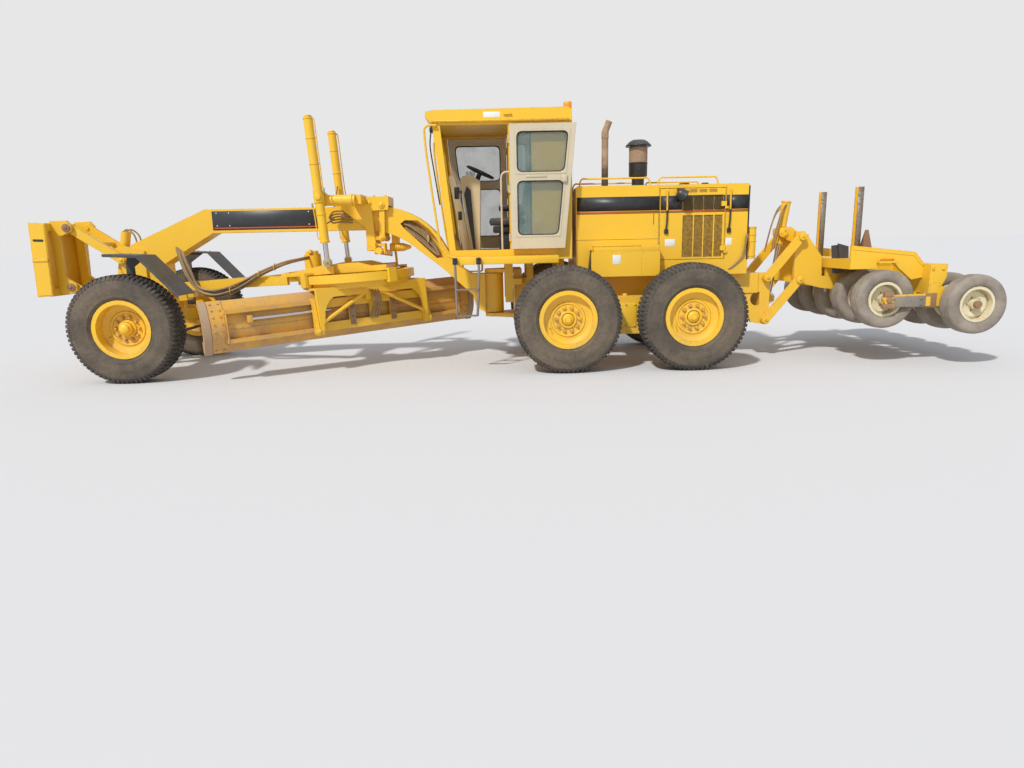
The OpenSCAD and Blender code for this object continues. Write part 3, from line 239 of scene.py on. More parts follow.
# BIG TYRES
# Six road-tread grader tyres, moulded rubber on steel beads. Fine blocks run round the crown,
# the shoulders are notched, and brown road dust has settled into the walls.
class Work:
    """A piece on the bench: shapes are added one by one, then it is finished and mounted."""

    def __init__(self):
        self.mesh = bmesh.new()

    def take(self, part, soft=0.0, turn=None):
        if soft:
            corners = [e for e in part.edges if e.is_manifold and e.calc_face_angle(0) > 0.5]
            bmesh.ops.bevel(part, geom=corners, offset=soft, segments=2, profile=0.5,
                            affect="EDGES", clamp_overlap=True)
        if turn is not None:
            part.transform(turn)
        mould = bpy.data.meshes.new("mould")
        part.to_mesh(mould)
        part.free()
        self.mesh.from_mesh(mould)
        bpy.data.meshes.remove(mould)
        return self

    def copy_of(self, mesh, turn=None):
        part = bmesh.new()
        part.from_mesh(mesh)
        return self.take(part, turn=turn)

    def block(self, low, high, soft=0.004, turn=None):
        part = bmesh.new()
        bmesh.ops.create_cube(part, size=1)
        low, high = Vector(low), Vector(high)
        size = Vector([abs(v) for v in high - low])
        bmesh.ops.scale(part, vec=size, verts=part.verts)
        bmesh.ops.translate(part, vec=(low + high) / 2, verts=part.verts)
        return self.take(part, soft, turn)

    def slab(self, side, x, y, z, soft=0.004):
        """A block whose y span is given for the left side, and mirrored for the right."""
        near, far = sorted((side * y[0], side * y[1]))
        return self.block((x[0], near, z[0]), (x[1], far, z[1]), soft)

    def plate(self, outline, near, far, plane="xz", soft=0.0015, turn=None):
        """An outline in two axes, given a thickness from near to far on the third."""
        def at(u, v, t):
            return {"xz": (u, t, v), "yz": (t, u, v), "xy": (u, v, t)}[plane]
        part = bmesh.new()
        first = [part.verts.new(at(u, v, near)) for u, v in outline]
        second = [part.verts.new(at(u, v, far)) for u, v in outline]
        part.faces.new(first)
        part.faces.new(second[::-1])
        for i in range(len(outline)):
            j = (i + 1) % len(outline)
            part.faces.new((first[j], first[i], second[i], second[j]))
        return self.take(part, soft, turn)

    def ring_plate(self, outer, inner, near, far, turn=None):
        """A flat frame in x and z between two outlines with the same number of points."""
        part = bmesh.new()
        loops = [[part.verts.new((u, t, v)) for u, v in line]
                 for line, t in ((outer, near), (outer, far), (inner, far), (inner, near))]
        for k in range(4):
            one, two = loops[k], loops[(k + 1) % 4]
            for i in range(len(one)):
                j = (i + 1) % len(one)
                part.faces.new((one[i], one[j], two[j], two[i]))
        return self.take(part, turn=turn)

    def lathe(self, profile, centre=(0, 0, 0), axis="y", steps=64):
        """A closed outline of (radius, height) turned round an axis."""
        part = bmesh.new()
        rows = []
        for k in range(steps):
            a = 2 * math.pi * k / steps
            row = []
            for r, h in profile:
                u, v = r * math.cos(a), r * math.sin(a)
                row.append(part.verts.new({"y": (u, h, v), "z": (u, v, h), "x": (h, u, v)}[axis]))
            rows.append(row)
        for k in range(steps):
            one, two = rows[k], rows[(k + 1) % steps]
            for i in range(len(profile)):
                j = (i + 1) % len(profile)
                part.faces.new((one[i], one[j], two[j], two[i]))
        bmesh.ops.remove_doubles(part, verts=part.verts, dist=1e-6)
        return self.take(part, turn=Matrix.Translation(centre))

    def rod(self, start, end, radius, soft=0.002, steps=24):
        """A turned bar with broken edges between two points; six steps make a hexagon."""
        start, end = Vector(start), Vector(end)
        part = bmesh.new()
        bmesh.ops.create_cone(part, cap_ends=True, segments=steps, radius1=radius, radius2=radius,
                              depth=(end - start).length)
        turn = (end - start).to_track_quat("Z", "Y").to_matrix().to_4x4()
        return self.take(part, soft, Matrix.Translation((start + end) / 2) @ turn)

    def tube(self, points, radius, steps=10, smooth=6, closed=False):
        """A round hose or bent pipe through points, on one smooth curve."""
        points = [Vector(p) for p in points]
        path = []
        count = len(points)
        for i in range(count if closed else count - 1):
            if closed:
                a, b, c, d = (points[(i + k) % count] for k in (-1, 0, 1, 2))
            else:
                a, b, c, d = (points[min(max(i + k, 0), count - 1)] for k in (-1, 0, 1, 2))
            for s in range(smooth):
                t = s / smooth
                path.append(0.5 * (2 * b + (c - a) * t + (2 * a - 5 * b + 4 * c - d) * t * t
                                   + (3 * b - a - 3 * c + d) * t ** 3))
        if not closed:
            path.append(points[-1])
        part = bmesh.new()
        normal = None
        rows = []
        for i, p in enumerate(path):
            ahead = path[(i + 1) % len(path)] if closed or i + 1 < len(path) else p
            behind = path[i - 1] if closed or i else p
            way = (ahead - behind).normalized()
            if normal is None:
                normal = way.orthogonal().normalized()
            normal = (normal - way * normal.dot(way)).normalized()
            across = way.cross(normal)
            rows.append([part.verts.new(p + radius * (math.cos(a) * normal + math.sin(a) * across))
                         for a in (2 * math.pi * k / steps for k in range(steps))])
        for i in range(len(rows) if closed else len(rows) - 1):
            one, two = rows[i], rows[(i + 1) % len(rows)]
            shift = 0
            if closed and i == len(rows) - 1:
                shift = min(range(steps), key=lambda s: (one[0].co - two[s].co).length)
            for k in range(steps):
                j = (k + 1) % steps
                part.faces.new((one[k], one[j], two[(j + shift) % steps],
                                two[(k + shift) % steps]))
        if not closed:
            part.faces.new(rows[0][::-1])
            part.faces.new(rows[-1])
        return self.take(part)

    def as_mesh(self):
        made = bpy.data.meshes.new("bench")
        self.mesh.to_mesh(made)
        return made

    def finish(self, name, body, material, slot, replaces=(), sharp=34, bench=True):
        """The piece rides on its body, if it has one; bench is false for packed places."""
        bmesh.ops.recalc_face_normals(self.mesh, faces=self.mesh.faces)
        if bench:
            self.mesh.transform(Matrix.Translation((front_axle, 0, 0)))
        made = self.as_mesh()
        made.name = name
        made.shade_smooth()
        made.set_sharp_from_angle(angle=math.radians(sharp))
        made.materials.append(material)
        piece = bpy.data.objects.new(name, made)
        bpy.context.collection.objects.link(piece)
        if body:
            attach(piece, body)
        if replaces:
            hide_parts(*replaces)
        return piece


def repeat_tree():
    """Copies of a shape, each one step and one turn further than the last."""
    tree = bpy.data.node_groups.new("row_of_copies", "GeometryNodeTree")
    for name, kind in (("Shape", "Geometry"), ("Count", "Int"), ("Step", "Vector"),
                       ("Turn", "Vector")):
        tree.interface.new_socket(name, in_out="INPUT", socket_type="NodeSocket" + kind)
    tree.interface.new_socket("Row", in_out="OUTPUT", socket_type="NodeSocketGeometry")
    make, link = tree.nodes.new, tree.links.new
    given, out = make("NodeGroupInput"), make("NodeGroupOutput")
    line = make("GeometryNodeMeshLine")
    link(given.outputs["Count"], line.inputs["Count"])
    link(given.outputs["Step"], line.inputs["Offset"])
    turn = make("ShaderNodeVectorMath")
    turn.operation = "SCALE"
    link(given.outputs["Turn"], turn.inputs[0])
    link(make("GeometryNodeInputIndex").outputs[0], turn.inputs["Scale"])
    as_turn = make("FunctionNodeEulerToRotation")
    link(turn.outputs[0], as_turn.inputs[0])
    copies = make("GeometryNodeInstanceOnPoints")
    link(line.outputs[0], copies.inputs["Points"])
    link(given.outputs["Shape"], copies.inputs["Instance"])
    link(as_turn.outputs[0], copies.inputs["Rotation"])
    real, coat = make("GeometryNodeRealizeInstances"), make("GeometryNodeSetMaterial")
    link(copies.outputs[0], real.inputs[0])
    link(real.outputs[0], coat.inputs[0])
    coat.inputs["Material"].default_value = yellow
    link(coat.outputs[0], out.inputs[0])
    return tree


row_of_copies = repeat_tree()


def repeated(work, count, step=(0, 0, 0), turn=(0, 0, 0)):
    """A mesh with count copies of a worked shape."""
    seed = bpy.data.objects.new("seed", work.as_mesh())
    bpy.context.collection.objects.link(seed)
    copier = seed.modifiers.new("copies", "NODES")
    copier.node_group = row_of_copies
    given = {item.name: item.identifier for item in row_of_copies.interface.items_tree}
    copier[given["Count"]] = count
    copier[given["Step"]] = step
    copier[given["Turn"]] = turn
    ready = seed.evaluated_get(bpy.context.evaluated_depsgraph_get())
    made = bpy.data.meshes.new_from_object(ready)
    bpy.data.objects.remove(seed)
    return made


def middle(name):
    low, high = (Vector(c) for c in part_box(name))
    return (low + high) / 2


front_axle = middle("rim_front_left").x
TYRE_R, TYRE_HALF, BEAD_R = 0.650, 0.180, 0.3175
BLOCKS = 72
big_wheels = {"front_left": "wheel_front_left", "front_right": "wheel_front_right",
              "tandem_front_left": "tandem_wheel_front_left",
              "tandem_front_right": "tandem_wheel_front_right",
              "tandem_rear_left": "tandem_wheel_rear_left",
              "tandem_rear_right": "tandem_wheel_rear_right"}


def tyre_surface():
    fine, mud = noise(90, 3), noise(2.2, 8, 0.7).step(0.30, 0.7)
    grit = noise(26, 6, 0.7).step(0.4, 0.75)
    base = mud.tint((0.075, 0.062, 0.048), (0.17, 0.130, 0.088))
    base = (grit * 0.5).tint(base, (0.045, 0.040, 0.036))
    bumps = Wire.node("Bump", Height=fine + grit, Strength=0.25, Distance=0.002)
    return {"Base Color": base, "Roughness": 0.84 + fine * 0.1, "Normal": bumps}


def tread_surface():
    fine, mud = noise(70, 3), noise(5, 8, 0.7).step(0.42, 0.7)
    bumps = Wire.node("Bump", Height=fine, Strength=0.25, Distance=0.002)
    return {"Base Color": mud.tint((0.050, 0.044, 0.040), (0.13, 0.105, 0.078)),
            "Roughness": 0.88 + fine * 0.08, "Normal": bumps}


wall_rubber = finish_of("dusty_tyre_wall", tyre_surface)
tread_rubber = finish_of("worn_tread", tread_surface)


def tyre_profile():
    """One half of the section from the bead to the crown, then its mirror image."""
    half = [(BEAD_R, 0.125), (0.353, 0.126), (0.362, 0.137), (0.385, 0.157), (0.392, 0.165),
            (0.400, 0.163), (0.430, 0.172), (0.470, 0.1785), (0.505, 0.1795), (0.512, 0.1765),
            (0.545, 0.177), (0.580, 0.1725), (0.606, 0.166), (0.622, 0.155), (0.631, 0.138),
            (0.634, 0.100), (0.636, 0.030)]
    return half + [(r, -y) for r, y in reversed(half)]


def tread_blocks():
    """Five rows of blocks, the outer two run down over the shoulder."""
    work = Work()
    pitch = 2 * math.pi / BLOCKS
    long = 0.62 * pitch * TYRE_R
    for row, (y, width) in enumerate(((-0.062, 0.042), (0.0, 0.044), (0.062, 0.042))):
        lug = Work().block((-long / 2, y - width / 2, 0.628), (long / 2, y + width / 2, TYRE_R),
                           0.003)
        ring = repeated(lug, BLOCKS, turn=(0, pitch, 0))
        work.copy_of(ring, Matrix.Rotation(pitch / 2 * (row % 2), 4, "Y"))
    for side in sides:
        shoulder = [(0.100, 0.626), (0.100, 0.650), (0.146, 0.647), (0.163, 0.632),
                    (0.1755, 0.590),
                    (0.168, 0.586), (0.150, 0.618)]
        lug = Work().plate([(side * y, r) for y, r in shoulder], -long / 2, long / 2, "yz", 0.0025)
        work.copy_of(repeated(lug, BLOCKS, turn=(0, pitch, 0)))
    return work.as_mesh()


tread_ring = tread_blocks()
for name, body in big_wheels.items():
    hub = middle("rim_" + name)
    Work().lathe(tyre_profile(), hub, steps=120).finish(
        "carcass_" + name, body, wall_rubber, "tyre_rubber", ("tyre_" + name,), bench=False)
    Work().copy_of(tread_ring, Matrix.Translation(hub)).finish(
        "tread_" + name, body, tread_rubber, "tyre_rubber", bench=False)


# WHEEL FITTINGS
# Each pressed disc is held by ten plated nuts on a flat hub ring. The front hubs carry a domed
# grease cap, and a valve stem comes through every dish.
def hexes(work, places, way, radius, height):
    way = Vector(way)
    for at in places:
        at = Vector(at)
        work.rod(at, at + way * height * 0.25, radius * 1.45, 0.001, 20)
        work.rod(at, at + way * height, radius, 0.0015, 6)
    return work


def circle_of(count, radius, centre, phase=0.0):
    """Places round a circle that faces along y."""
    return [(centre[0] + radius * math.cos(a), centre[1], centre[2] + radius * math.sin(a))
            for a in (phase + 2 * math.pi * k / count for k in range(count))]


hardware = paint("dull_plating", (0.42, 0.33, 0.16), dust=0.5, dust_top=2.5, wear=1.2,
                 rust=(0.22, 0.11, 0.05), gloss=0.42)
for name, body in big_wheels.items():
    hub = middle("rim_" + name)
    out = 1 if hub.y > 0 else -1
    steered = name.startswith("front")
    disc = hub.y + out * (-0.020 if steered else 0.060)
    nuts = hexes(Work(), circle_of(10, 0.140, (hub.x, disc, hub.z)), (0, out, 0), 0.017, 0.034)
    nuts.finish("nuts_" + name, body, worn_yellow, "paint_yellow", bench=False)
    ring = Work()
    flange = [(0.098, 0.0), (0.108, 0.002), (0.108, 0.014), (0.100, 0.022), (0.080, 0.024),
              (0.076, 0.0)]
    ring.lathe([(r, out * h) for r, h in flange], (hub.x, disc, hub.z))
    dish = [(0.176, 0.0), (0.186, 0.010), (0.206, 0.011), (0.216, 0.0)]
    ring.lathe([(r, out * h) for r, h in dish], (hub.x, disc, hub.z), steps=96)
    cap_y = hub.y + out * (0.070 if steered else 0.110)
    dome = ([(0.0, 0.0), (0.060, 0.0), (0.058, 0.010), (0.040, 0.026), (0.0, 0.032)] if steered
            else [(0.0, 0.0), (0.036, 0.0), (0.034, 0.006), (0.0, 0.009)])
    ring.lathe([(r, out * h) for r, h in dome], (hub.x, cap_y, hub.z))
    ring.finish("hub_ring_" + name, body, yellow, "paint_yellow", bench=False)
    valve = Vector((hub.x + 0.21, disc, hub.z - 0.10))
    Work().rod(valve, valve + Vector((0.02, out * 0.07, 0)), 0.005, 0.001, 12).finish(
        "valve_" + name, body, hardware, "chrome_rod", bench=False)


# TANDEM CASES
# Two welded boxes hold the chain drives. Bolted covers close their outer faces between the
# wheels and a filler plug sits on top.
tandem_mid, tandem_face, tandem_top = -6.086, 0.790, 0.885
for side in sides:
    cover = Work()
    cover.slab(side, (tandem_mid - 0.13, tandem_mid + 0.13), (tandem_face, tandem_face + 0.010),
               (0.50, 0.80), 0.003)
    places = [(tandem_mid + sx * 0.11, side * (tandem_face + 0.010), 0.65 + sz * 0.13)
              for sx in (-1, 0, 1) for sz in sides]
    hexes(cover, places, (0, side, 0), 0.009, 0.012)
    cover.rod((tandem_mid, side * 0.70, tandem_top - 0.005),
              (tandem_mid, side * 0.70, tandem_top + 0.03),
              0.03, 0.004)
    cover.finish("tandem_cover_" + ("left" if side > 0 else "right"), "machine", yellow,
                 "paint_yellow")


# ENGINE HOOD
# A folded sheet enclosure: black side bands over a thin red-orange line, long latch bars, four
# columns of perforated screen in each door, grab rails on top and blank white label plates.
band_black = paint("band_black", (0.026, 0.027, 0.030), dust=0.12, wear=0.05,
                   rust=(0.2, 0.15, 0.08), chalk=0.2)
band_red = paint("band_red", (0.50, 0.085, 0.012), dust=0.15, wear=0.2, chalk=0.3)
screen = paint("dusty_screen", (0.60, 0.36, 0.05), dust=0.9, dust_top=2.6, wear=0.6, chalk=0.9)
label_white = paint("label_white", (0.78, 0.77, 0.72), dust=0.2, wear=0.0, edge=0.001,
                    rust=(0.5, 0.45, 0.35), gloss=0.45)
HOOD_Y, HOOD_TOP, RAIL_TOP = 0.500, 2.245, 2.338
LATCH_Y = HOOD_Y + 0.022
BAND, LINE = (1.935, 2.108), (1.912, 1.930)
SPLIT, HINGE_SEAM = (-6.5365, -6.5405), (-7.391, -7.394)
columns = ((-7.350, -7.252), (-7.234, -7.117), (-7.101, -6.992), (-6.976, -6.845))
hood_span = {"front": (-5.500, -6.546), "door": (-6.560, -7.376), "rear": (-7.394, -7.672)}


def flat(work, x, z, side, face, thick=0.0018, soft=0.0006):
    low, high = sorted((side * face, side * (face + thick)))
    return work.block((min(x), low, min(z)), (max(x), high, max(z)), soft)


for side, hand in hands:
    hood_door = "engine_door_" + hand[0]
    for part, span in hood_span.items():
        body = hood_door if part == "door" else "machine"
        band, line = Work(), Work()
        if part == "door":
            flat(band, (-6.560, -6.838), BAND, side, HOOD_Y)
            flat(band, (-7.352, -7.376), BAND, side, HOOD_Y)
            for x0, x1 in ((-6.978, -6.990), (-7.103, -7.115), (-7.236, -7.250)):
                flat(band, (x0, x1), BAND, side, HOOD_Y)
            flat(band, (-6.845, -7.350), (2.100, 2.112), side, HOOD_Y)
        else:
            flat(band, span, BAND, side, HOOD_Y)
        flat(band, span, (LINE[0] - 0.012, LINE[0] - 0.004), side, HOOD_Y, 0.0012)
        flat(line, span, LINE, side, HOOD_Y, 0.0022)
        band.finish("band_%s_%s" % (part, hand), body, band_black, "paint_black")
        line.finish("line_%s_%s" % (part, hand), body, band_red, "paint_yellow")
    mesh_low, mesh_top = Work(), Work()
    for x0, x1 in columns:
        for z0, z1, work in ((1.345, 1.865, mesh_low), (1.925, 2.105, mesh_top)):
            back, fore = sorted((side * (HOOD_Y - 0.0105), side * (HOOD_Y - 0.0080)))
            slat = Work().block((x0, back, z0), (x1, fore, z0 + 0.006), 0)
            work.copy_of(repeated(slat, int((z1 - z0) / 0.013), step=(0, 0, 0.013)))
            upright = Work().block((x0, back, z0), (x0 + 0.005, fore, z1), 0)
            work.copy_of(repeated(upright, int((x1 - x0) / 0.011) + 1, step=(0.011, 0, 0)))
    mesh_low.finish("screen_low_" + hand, hood_door, screen, "paint_yellow")
    mesh_top.finish("screen_top_" + hand, hood_door, band_black, "paint_black")
    # Black strips along the panel seams are painted shade in the grooves between the hood panels.
    # The same piece also holds a wider black strip down the hood's rear edge and a short one by the
    # split.
    seam_shade = Work()
    for x, z in (((-5.497, -6.535), (1.581, 1.585)), (SPLIT, (1.30, 2.225)),
                 (HINGE_SEAM, (1.30, 2.225))):
        flat(seam_shade, x, z, side, HOOD_Y, 0.0008, 0)
    flat(seam_shade, (-7.672, -7.690), (1.30, 2.215), side, HOOD_Y, 0.004)
    flat(seam_shade, (-6.472, -6.478), (1.76, 1.90), side, HOOD_Y, 0.004)
    seam_shade.finish("hood_seams_" + hand, "machine", black, "paint_black")
    ledge = Work()
    flat(ledge, (-5.70, -6.29), (1.500, 1.512), side, HOOD_Y, 0.150)
    flat(ledge, (-5.70, -6.53), (1.425, 1.510), side, HOOD_Y, 0.146, 0.008)
    flat(ledge, (-6.300, -6.304), (1.14, 1.50), side, 0.650, 0.001, 0)
    ledge.finish("hood_ledge_" + hand, "machine", yellow, "paint_yellow")
    # The black wedge at the front end of the lower box is painted shade in the slot there.
    slot = Work()
    slot.plate([(-5.640, 1.20), (-5.668, 1.46), (-5.672, 1.46), (-5.672, 1.20)],
               *sorted((side * 0.51, side * 0.645)))
    slot.finish("hood_slot_" + hand, "machine", black, "paint_black")
    for spot, x, z, body, face in (("door", (-6.624, -6.752), (1.485, 1.575), hood_door, HOOD_Y),
                                   ("rear", (-7.400, -7.480), (1.485, 1.575), "machine", HOOD_Y),
                                   ("box", (-5.936, -6.036), (1.280, 1.395), "machine", 0.650)):
        tag = flat(Work(), x, z, side, face, 0.0015)
        tag.finish("label_%s_%s" % (spot, hand), body, label_white, "paint_cream")
    for spot, x, body in (("door", -6.640, hood_door), ("rear", -7.440, "machine")):
        y = side * LATCH_Y
        upper, lower = Work(), Work()
        upper.tube([(x, side * HOOD_Y, 2.180), (x, y, 2.172), (x, y, 2.100), (x, y, 1.93)], 0.011)
        lower.tube([(x, y, 1.93), (x, y, 1.80), (x + 0.01, y, 1.70)], 0.0105)
        lower.slab(side, (x - 0.02, x + 0.03), (HOOD_Y, LATCH_Y), (1.64, 1.70), 0.006)
        upper.finish("latch_bar_%s_%s" % (spot, hand), body, yellow, "paint_yellow")
        lower.finish("latch_%s_%s" % (spot, hand), body, black, "paint_black")
    vents = Work()
    vent = Work().slab(side, (-6.92, -7.02), (HOOD_Y, HOOD_Y + 0.006), (2.150, 2.157), 0.002)
    for k in range(3):
        vents.copy_of(repeated(vent, 3, step=(0, 0, 0.014)),
                      Matrix.Translation((-0.125 * k, 0, 0)))
    vents.finish("vents_" + hand, hood_door, screen, "paint_yellow")
    lamp = Work()
    lamp.lathe([(0.0, 0.0), (0.052, 0.012), (0.074, 0.045), (0.078, 0.10), (0.084, 0.108),
                (0.084, 0.120),
                (0.0, 0.122)], axis="x", steps=40)
    turn = Matrix.Translation((-6.745, side * 0.575, 2.150)) @ Matrix.Rotation(math.radians(150),
                                                                               4, "Y")
    housing = Work().copy_of(lamp.as_mesh(), turn)
    housing.slab(side, (-6.82, -6.76), (HOOD_Y, 0.560), (2.165, 2.195), 0.005)
    housing.finish("work_lamp_" + hand, hood_door, black, "paint_black")

rails = Work()
for y in (-0.42, 0.42):
    for x0, x1 in ((-5.545, -6.440), (-6.540, -7.300)):
        rails.tube([(x0, y, 2.240), (x0 - 0.008, y, 2.300), (x0 - 0.04, y, RAIL_TOP),
                    (x0 - 0.10, y, RAIL_TOP), (x0 * 0.5 + x1 * 0.5, y, RAIL_TOP),
                    (x1 + 0.10, y, RAIL_TOP), (x1 + 0.04, y, RAIL_TOP), (x1 + 0.008, y, 2.300),
                    (x1, y, 2.240)], 0.011, 10, 5)
rails.finish("hood_rails", "machine", yellow, "paint_yellow")
cap = Work()
cap.lathe([(0.0, 0.0), (0.07, 0.0), (0.07, 0.03), (0.06, 0.04), (0.0, 0.042)],
          (-6.95, 0.12, HOOD_TOP), "z", 40)
cap.lathe([(0.0, 0.0), (0.05, 0.0), (0.05, 0.05), (0.04, 0.06), (0.0, 0.062)],
          (-7.30, -0.15, HOOD_TOP), "z", 40)
cap.finish("filler_caps", "machine", black, "paint_black")


# EXHAUST AND AIR INTAKE
# The stack is bare steel, brown with rust and dusted pale above. The precleaner is a black bowl
# with a tan dust-caked screen and a flared rain cap.
def stack_surface():
    height = axis_of(place(), "Z")
    soft, fine = rounded_normal(0.006), noise(24, 6, 0.65)
    scale = noise(9, 6).step(0.4, 0.7)
    dark = scale.tint((0.060, 0.050, 0.044), (0.11, 0.075, 0.050))
    pale = scale.tint((0.34, 0.22, 0.13), (0.46, 0.33, 0.21))
    base = (height + fine * 0.3 - 0.15).step(2.42, 2.66).tint(dark, pale)
    bumps = Wire.node("Bump", Height=fine, Strength=0.3, Distance=0.002, Normal=soft)
    return {"Base Color": base, "Roughness": 0.72 + fine * 0.2, "Normal": bumps}


stack_steel = finish_of("rusty_stack", stack_surface)
dress(stack_steel, "exhaust")
dust_caked = paint("dust_caked_screen", (0.44, 0.29, 0.18), dust=0.4, dust_top=4, wear=0.2,
                   chalk=0.6)
intake = (-6.364, 0, HOOD_TOP)
bowl = Work().lathe([(0.0, 0.0), (0.080, 0.0), (0.080, 0.130), (0.112, 0.140), (0.120, 0.156),
                     (0.120, 0.300),
                     (0.124, 0.304), (0.124, 0.316), (0.110, 0.318), (0.0, 0.318)], intake, "z",
                    72)
hexes(bowl, [(intake[0], 0.118, intake[2] + 0.22)], (0, 1, 0), 0.010, 0.014)
bowl.finish("intake_bowl", "machine", black, "paint_black", ("air_intake",))
body_band = Work().lathe([(0.0, 0.3182), (0.117, 0.3182), (0.117, 0.505), (0.10, 0.526),
                          (0.0, 0.526)], intake, "z", 72)
rib = Work().block((-0.003, 0.116, 0.33), (0.003, 0.1195, 0.50), 0)
body_band.copy_of(repeated(rib, 60, turn=(0, 0, math.radians(6))), Matrix.Translation(intake))
body_band.finish("intake_screen", "machine", dust_caked, "paint_black")
cap = Work().lathe([(0.0, 0.5262), (0.150, 0.5262), (0.166, 0.520), (0.166, 0.534), (0.120, 0.580),
                    (0.085, 0.600), (0.0, 0.604)], intake, "z", 72)
cap.finish("intake_cap", "machine", black, "paint_black")


# CAB
# A welded post frame with a folded roof. The doors are cream-grey steel frames round two panes
# with round corners in rubber gaskets; hinges, a latch box and grab handles are bolted on.
def glass_surface():
    smear = noise(5, 5).step(0.4, 0.8)
    return {"Base Color": smear.tint((0.20, 0.30, 0.28), (0.32, 0.36, 0.30)),
            "Roughness": 0.04 + smear * 0.1, "Alpha": 0.30 + smear * 0.12}


glass = finish_of("cab_glass", glass_surface)
dress(glass, "cab_windows")
door_cream = paint("door_cream", (0.62, 0.53, 0.36), dust=0.3, dust_top=2.4, wear=0.5,
                   rust=(0.25, 0.14, 0.07), chalk=0.6)
dress(door_cream, "cab_door_left", "cab_door_right")
gasket = paint("gasket_rubber", (0.022, 0.022, 0.022), dust=0.2, wear=0.0, gloss=0.6)


def rounded(corners, radius, steps=6):
    """An outline with each corner turned into a smooth bend."""
    line = []
    for i, corner in enumerate(corners):
        at = Vector(corner)
        before = (Vector(corners[i - 1]) - at).normalized() * radius
        after = (Vector(corners[(i + 1) % len(corners)]) - at).normalized() * radius
        for s in range(steps + 1):
            t = s / steps
            line.append(tuple(at + before * (1 - t) ** 2 + after * t ** 2))
    return line


def inset(corners, by):
    """The corners of a convex outline moved inwards."""
    points = [Vector(c) for c in corners]
    centre = sum(points, Vector((0, 0))) / len(points)
    moved = []
    for i, at in enumerate(points):
        shift = Vector((0, 0))
        lines = []
        for a, b in ((points[i - 1], at), (at, points[(i + 1) % len(points)])):
            way = (b - a).normalized()
            inward = Vector((-way.y, way.x))
            if inward.dot(centre - a) < 0:
                inward = -inward
            lines.append((inward, inward.dot(a) + by))
        (n, p), (m, q) = lines
        det = n.x * m.y - n.y * m.x
        moved.append(((p * m.y - q * n.y) / det, (n.x * q - m.x * p) / det))
    return moved


door_axis, door_mid, door_half = (-4.655, 0.642), 0.5985, 0.0215
door_panes = (((-4.580, 2.390), (-4.580, 2.905), (-3.905, 2.905), (-3.960, 2.390)),
              ((-4.580, 1.640), (-4.580, 2.330), (-3.966, 2.330), (-4.036, 1.640)))
swung = (Matrix.Translation((door_axis[0], door_axis[1], 0)) @ Matrix.Rotation(math.pi, 4, "Z")
         @ Matrix.Translation((-door_axis[0], -door_axis[1], 0)))
for hand, turn in (("left", swung), ("right", Matrix.Scale(-1, 4, (0, 1, 0)))):
    body = "door_" + hand
    lining, rubber, panes, latch = Work(), Work(), Work(), Work()
    for corners in door_panes:
        edge = rounded(inset(corners, -0.004), 0.006)
        inner = rounded(inset(corners, 0.020), 0.075)
        lining.ring_plate(edge, inner, door_mid - door_half - 0.003, door_mid + door_half + 0.003,
                          turn)
        rubber.ring_plate(rounded(inset(corners, 0.0195), 0.075),
                          rounded(inset(corners, 0.032), 0.068),
                          door_mid - 0.014, door_mid + 0.014, turn)
        panes.plate(rounded(inset(corners, 0.030), 0.07), door_mid - 0.003, door_mid + 0.003, "xz",
                    0, turn)
    lining.block((-4.62, door_mid + door_half, 2.352),
                 (-4.05, door_mid + door_half + 0.010, 2.368), 0.003, turn)
    latch.block((-4.020, door_mid - door_half - 0.030, 2.285),
                (-3.950, door_mid - door_half, 2.375), 0.008, turn)
    latch.block((-4.45, door_mid - door_half - 0.008, 2.348), (-4.20, door_mid - door_half, 2.372),
                0.003, turn)
    lining.finish("door_lining_" + hand, body, door_cream, "door_grey")
    rubber.finish("door_gasket_" + hand, body, gasket, "paint_black")
    panes.finish("door_glass_" + hand, body, glass, "cab_glass")
    latch.finish("door_latch_" + hand, body, door_cream, "door_grey")

for side, hand in hands:
    seal = Work()
    window = ((-4.920, 1.600), (-4.920, 2.900), (-4.720, 2.900), (-4.720, 1.600))
    seal.ring_plate(rounded(inset(window, -0.012), 0.02), rounded(inset(window, 0.010), 0.03),
                    *sorted((side * 0.585, side * 0.6225)))
    seal.finish("side_window_seal_" + hand, "machine", gasket, "paint_black")
roof = Work()
for side in sides:
    low, high = sorted((side * 0.6505, side * 0.6535))
    roof.block((-5.40, low, 3.018), (-3.735, high, 3.034), 0.001)
    roof.block((-4.70, low, 3.085), (-4.60, high + (0.02 if side > 0 else 0), 3.10), 0.003)
roof.finish("roof_lip", "machine", yellow, "paint_yellow")
roof_tag = flat(Work(), (-4.36, -4.56), (3.055, 3.120), 1, 0.650, 0.0015)
roof_tag.finish("roof_label", "machine", label_white, "paint_cream")


def beacon_surface():
    ribs = noise(30, 2)
    return {"Base Color": ribs.tint((0.85, 0.22, 0.01), (0.95, 0.32, 0.02)),
            "Roughness": 0.22 + ribs * 0.1,
            "Coat Weight": 0.4 + ribs * 0.1}


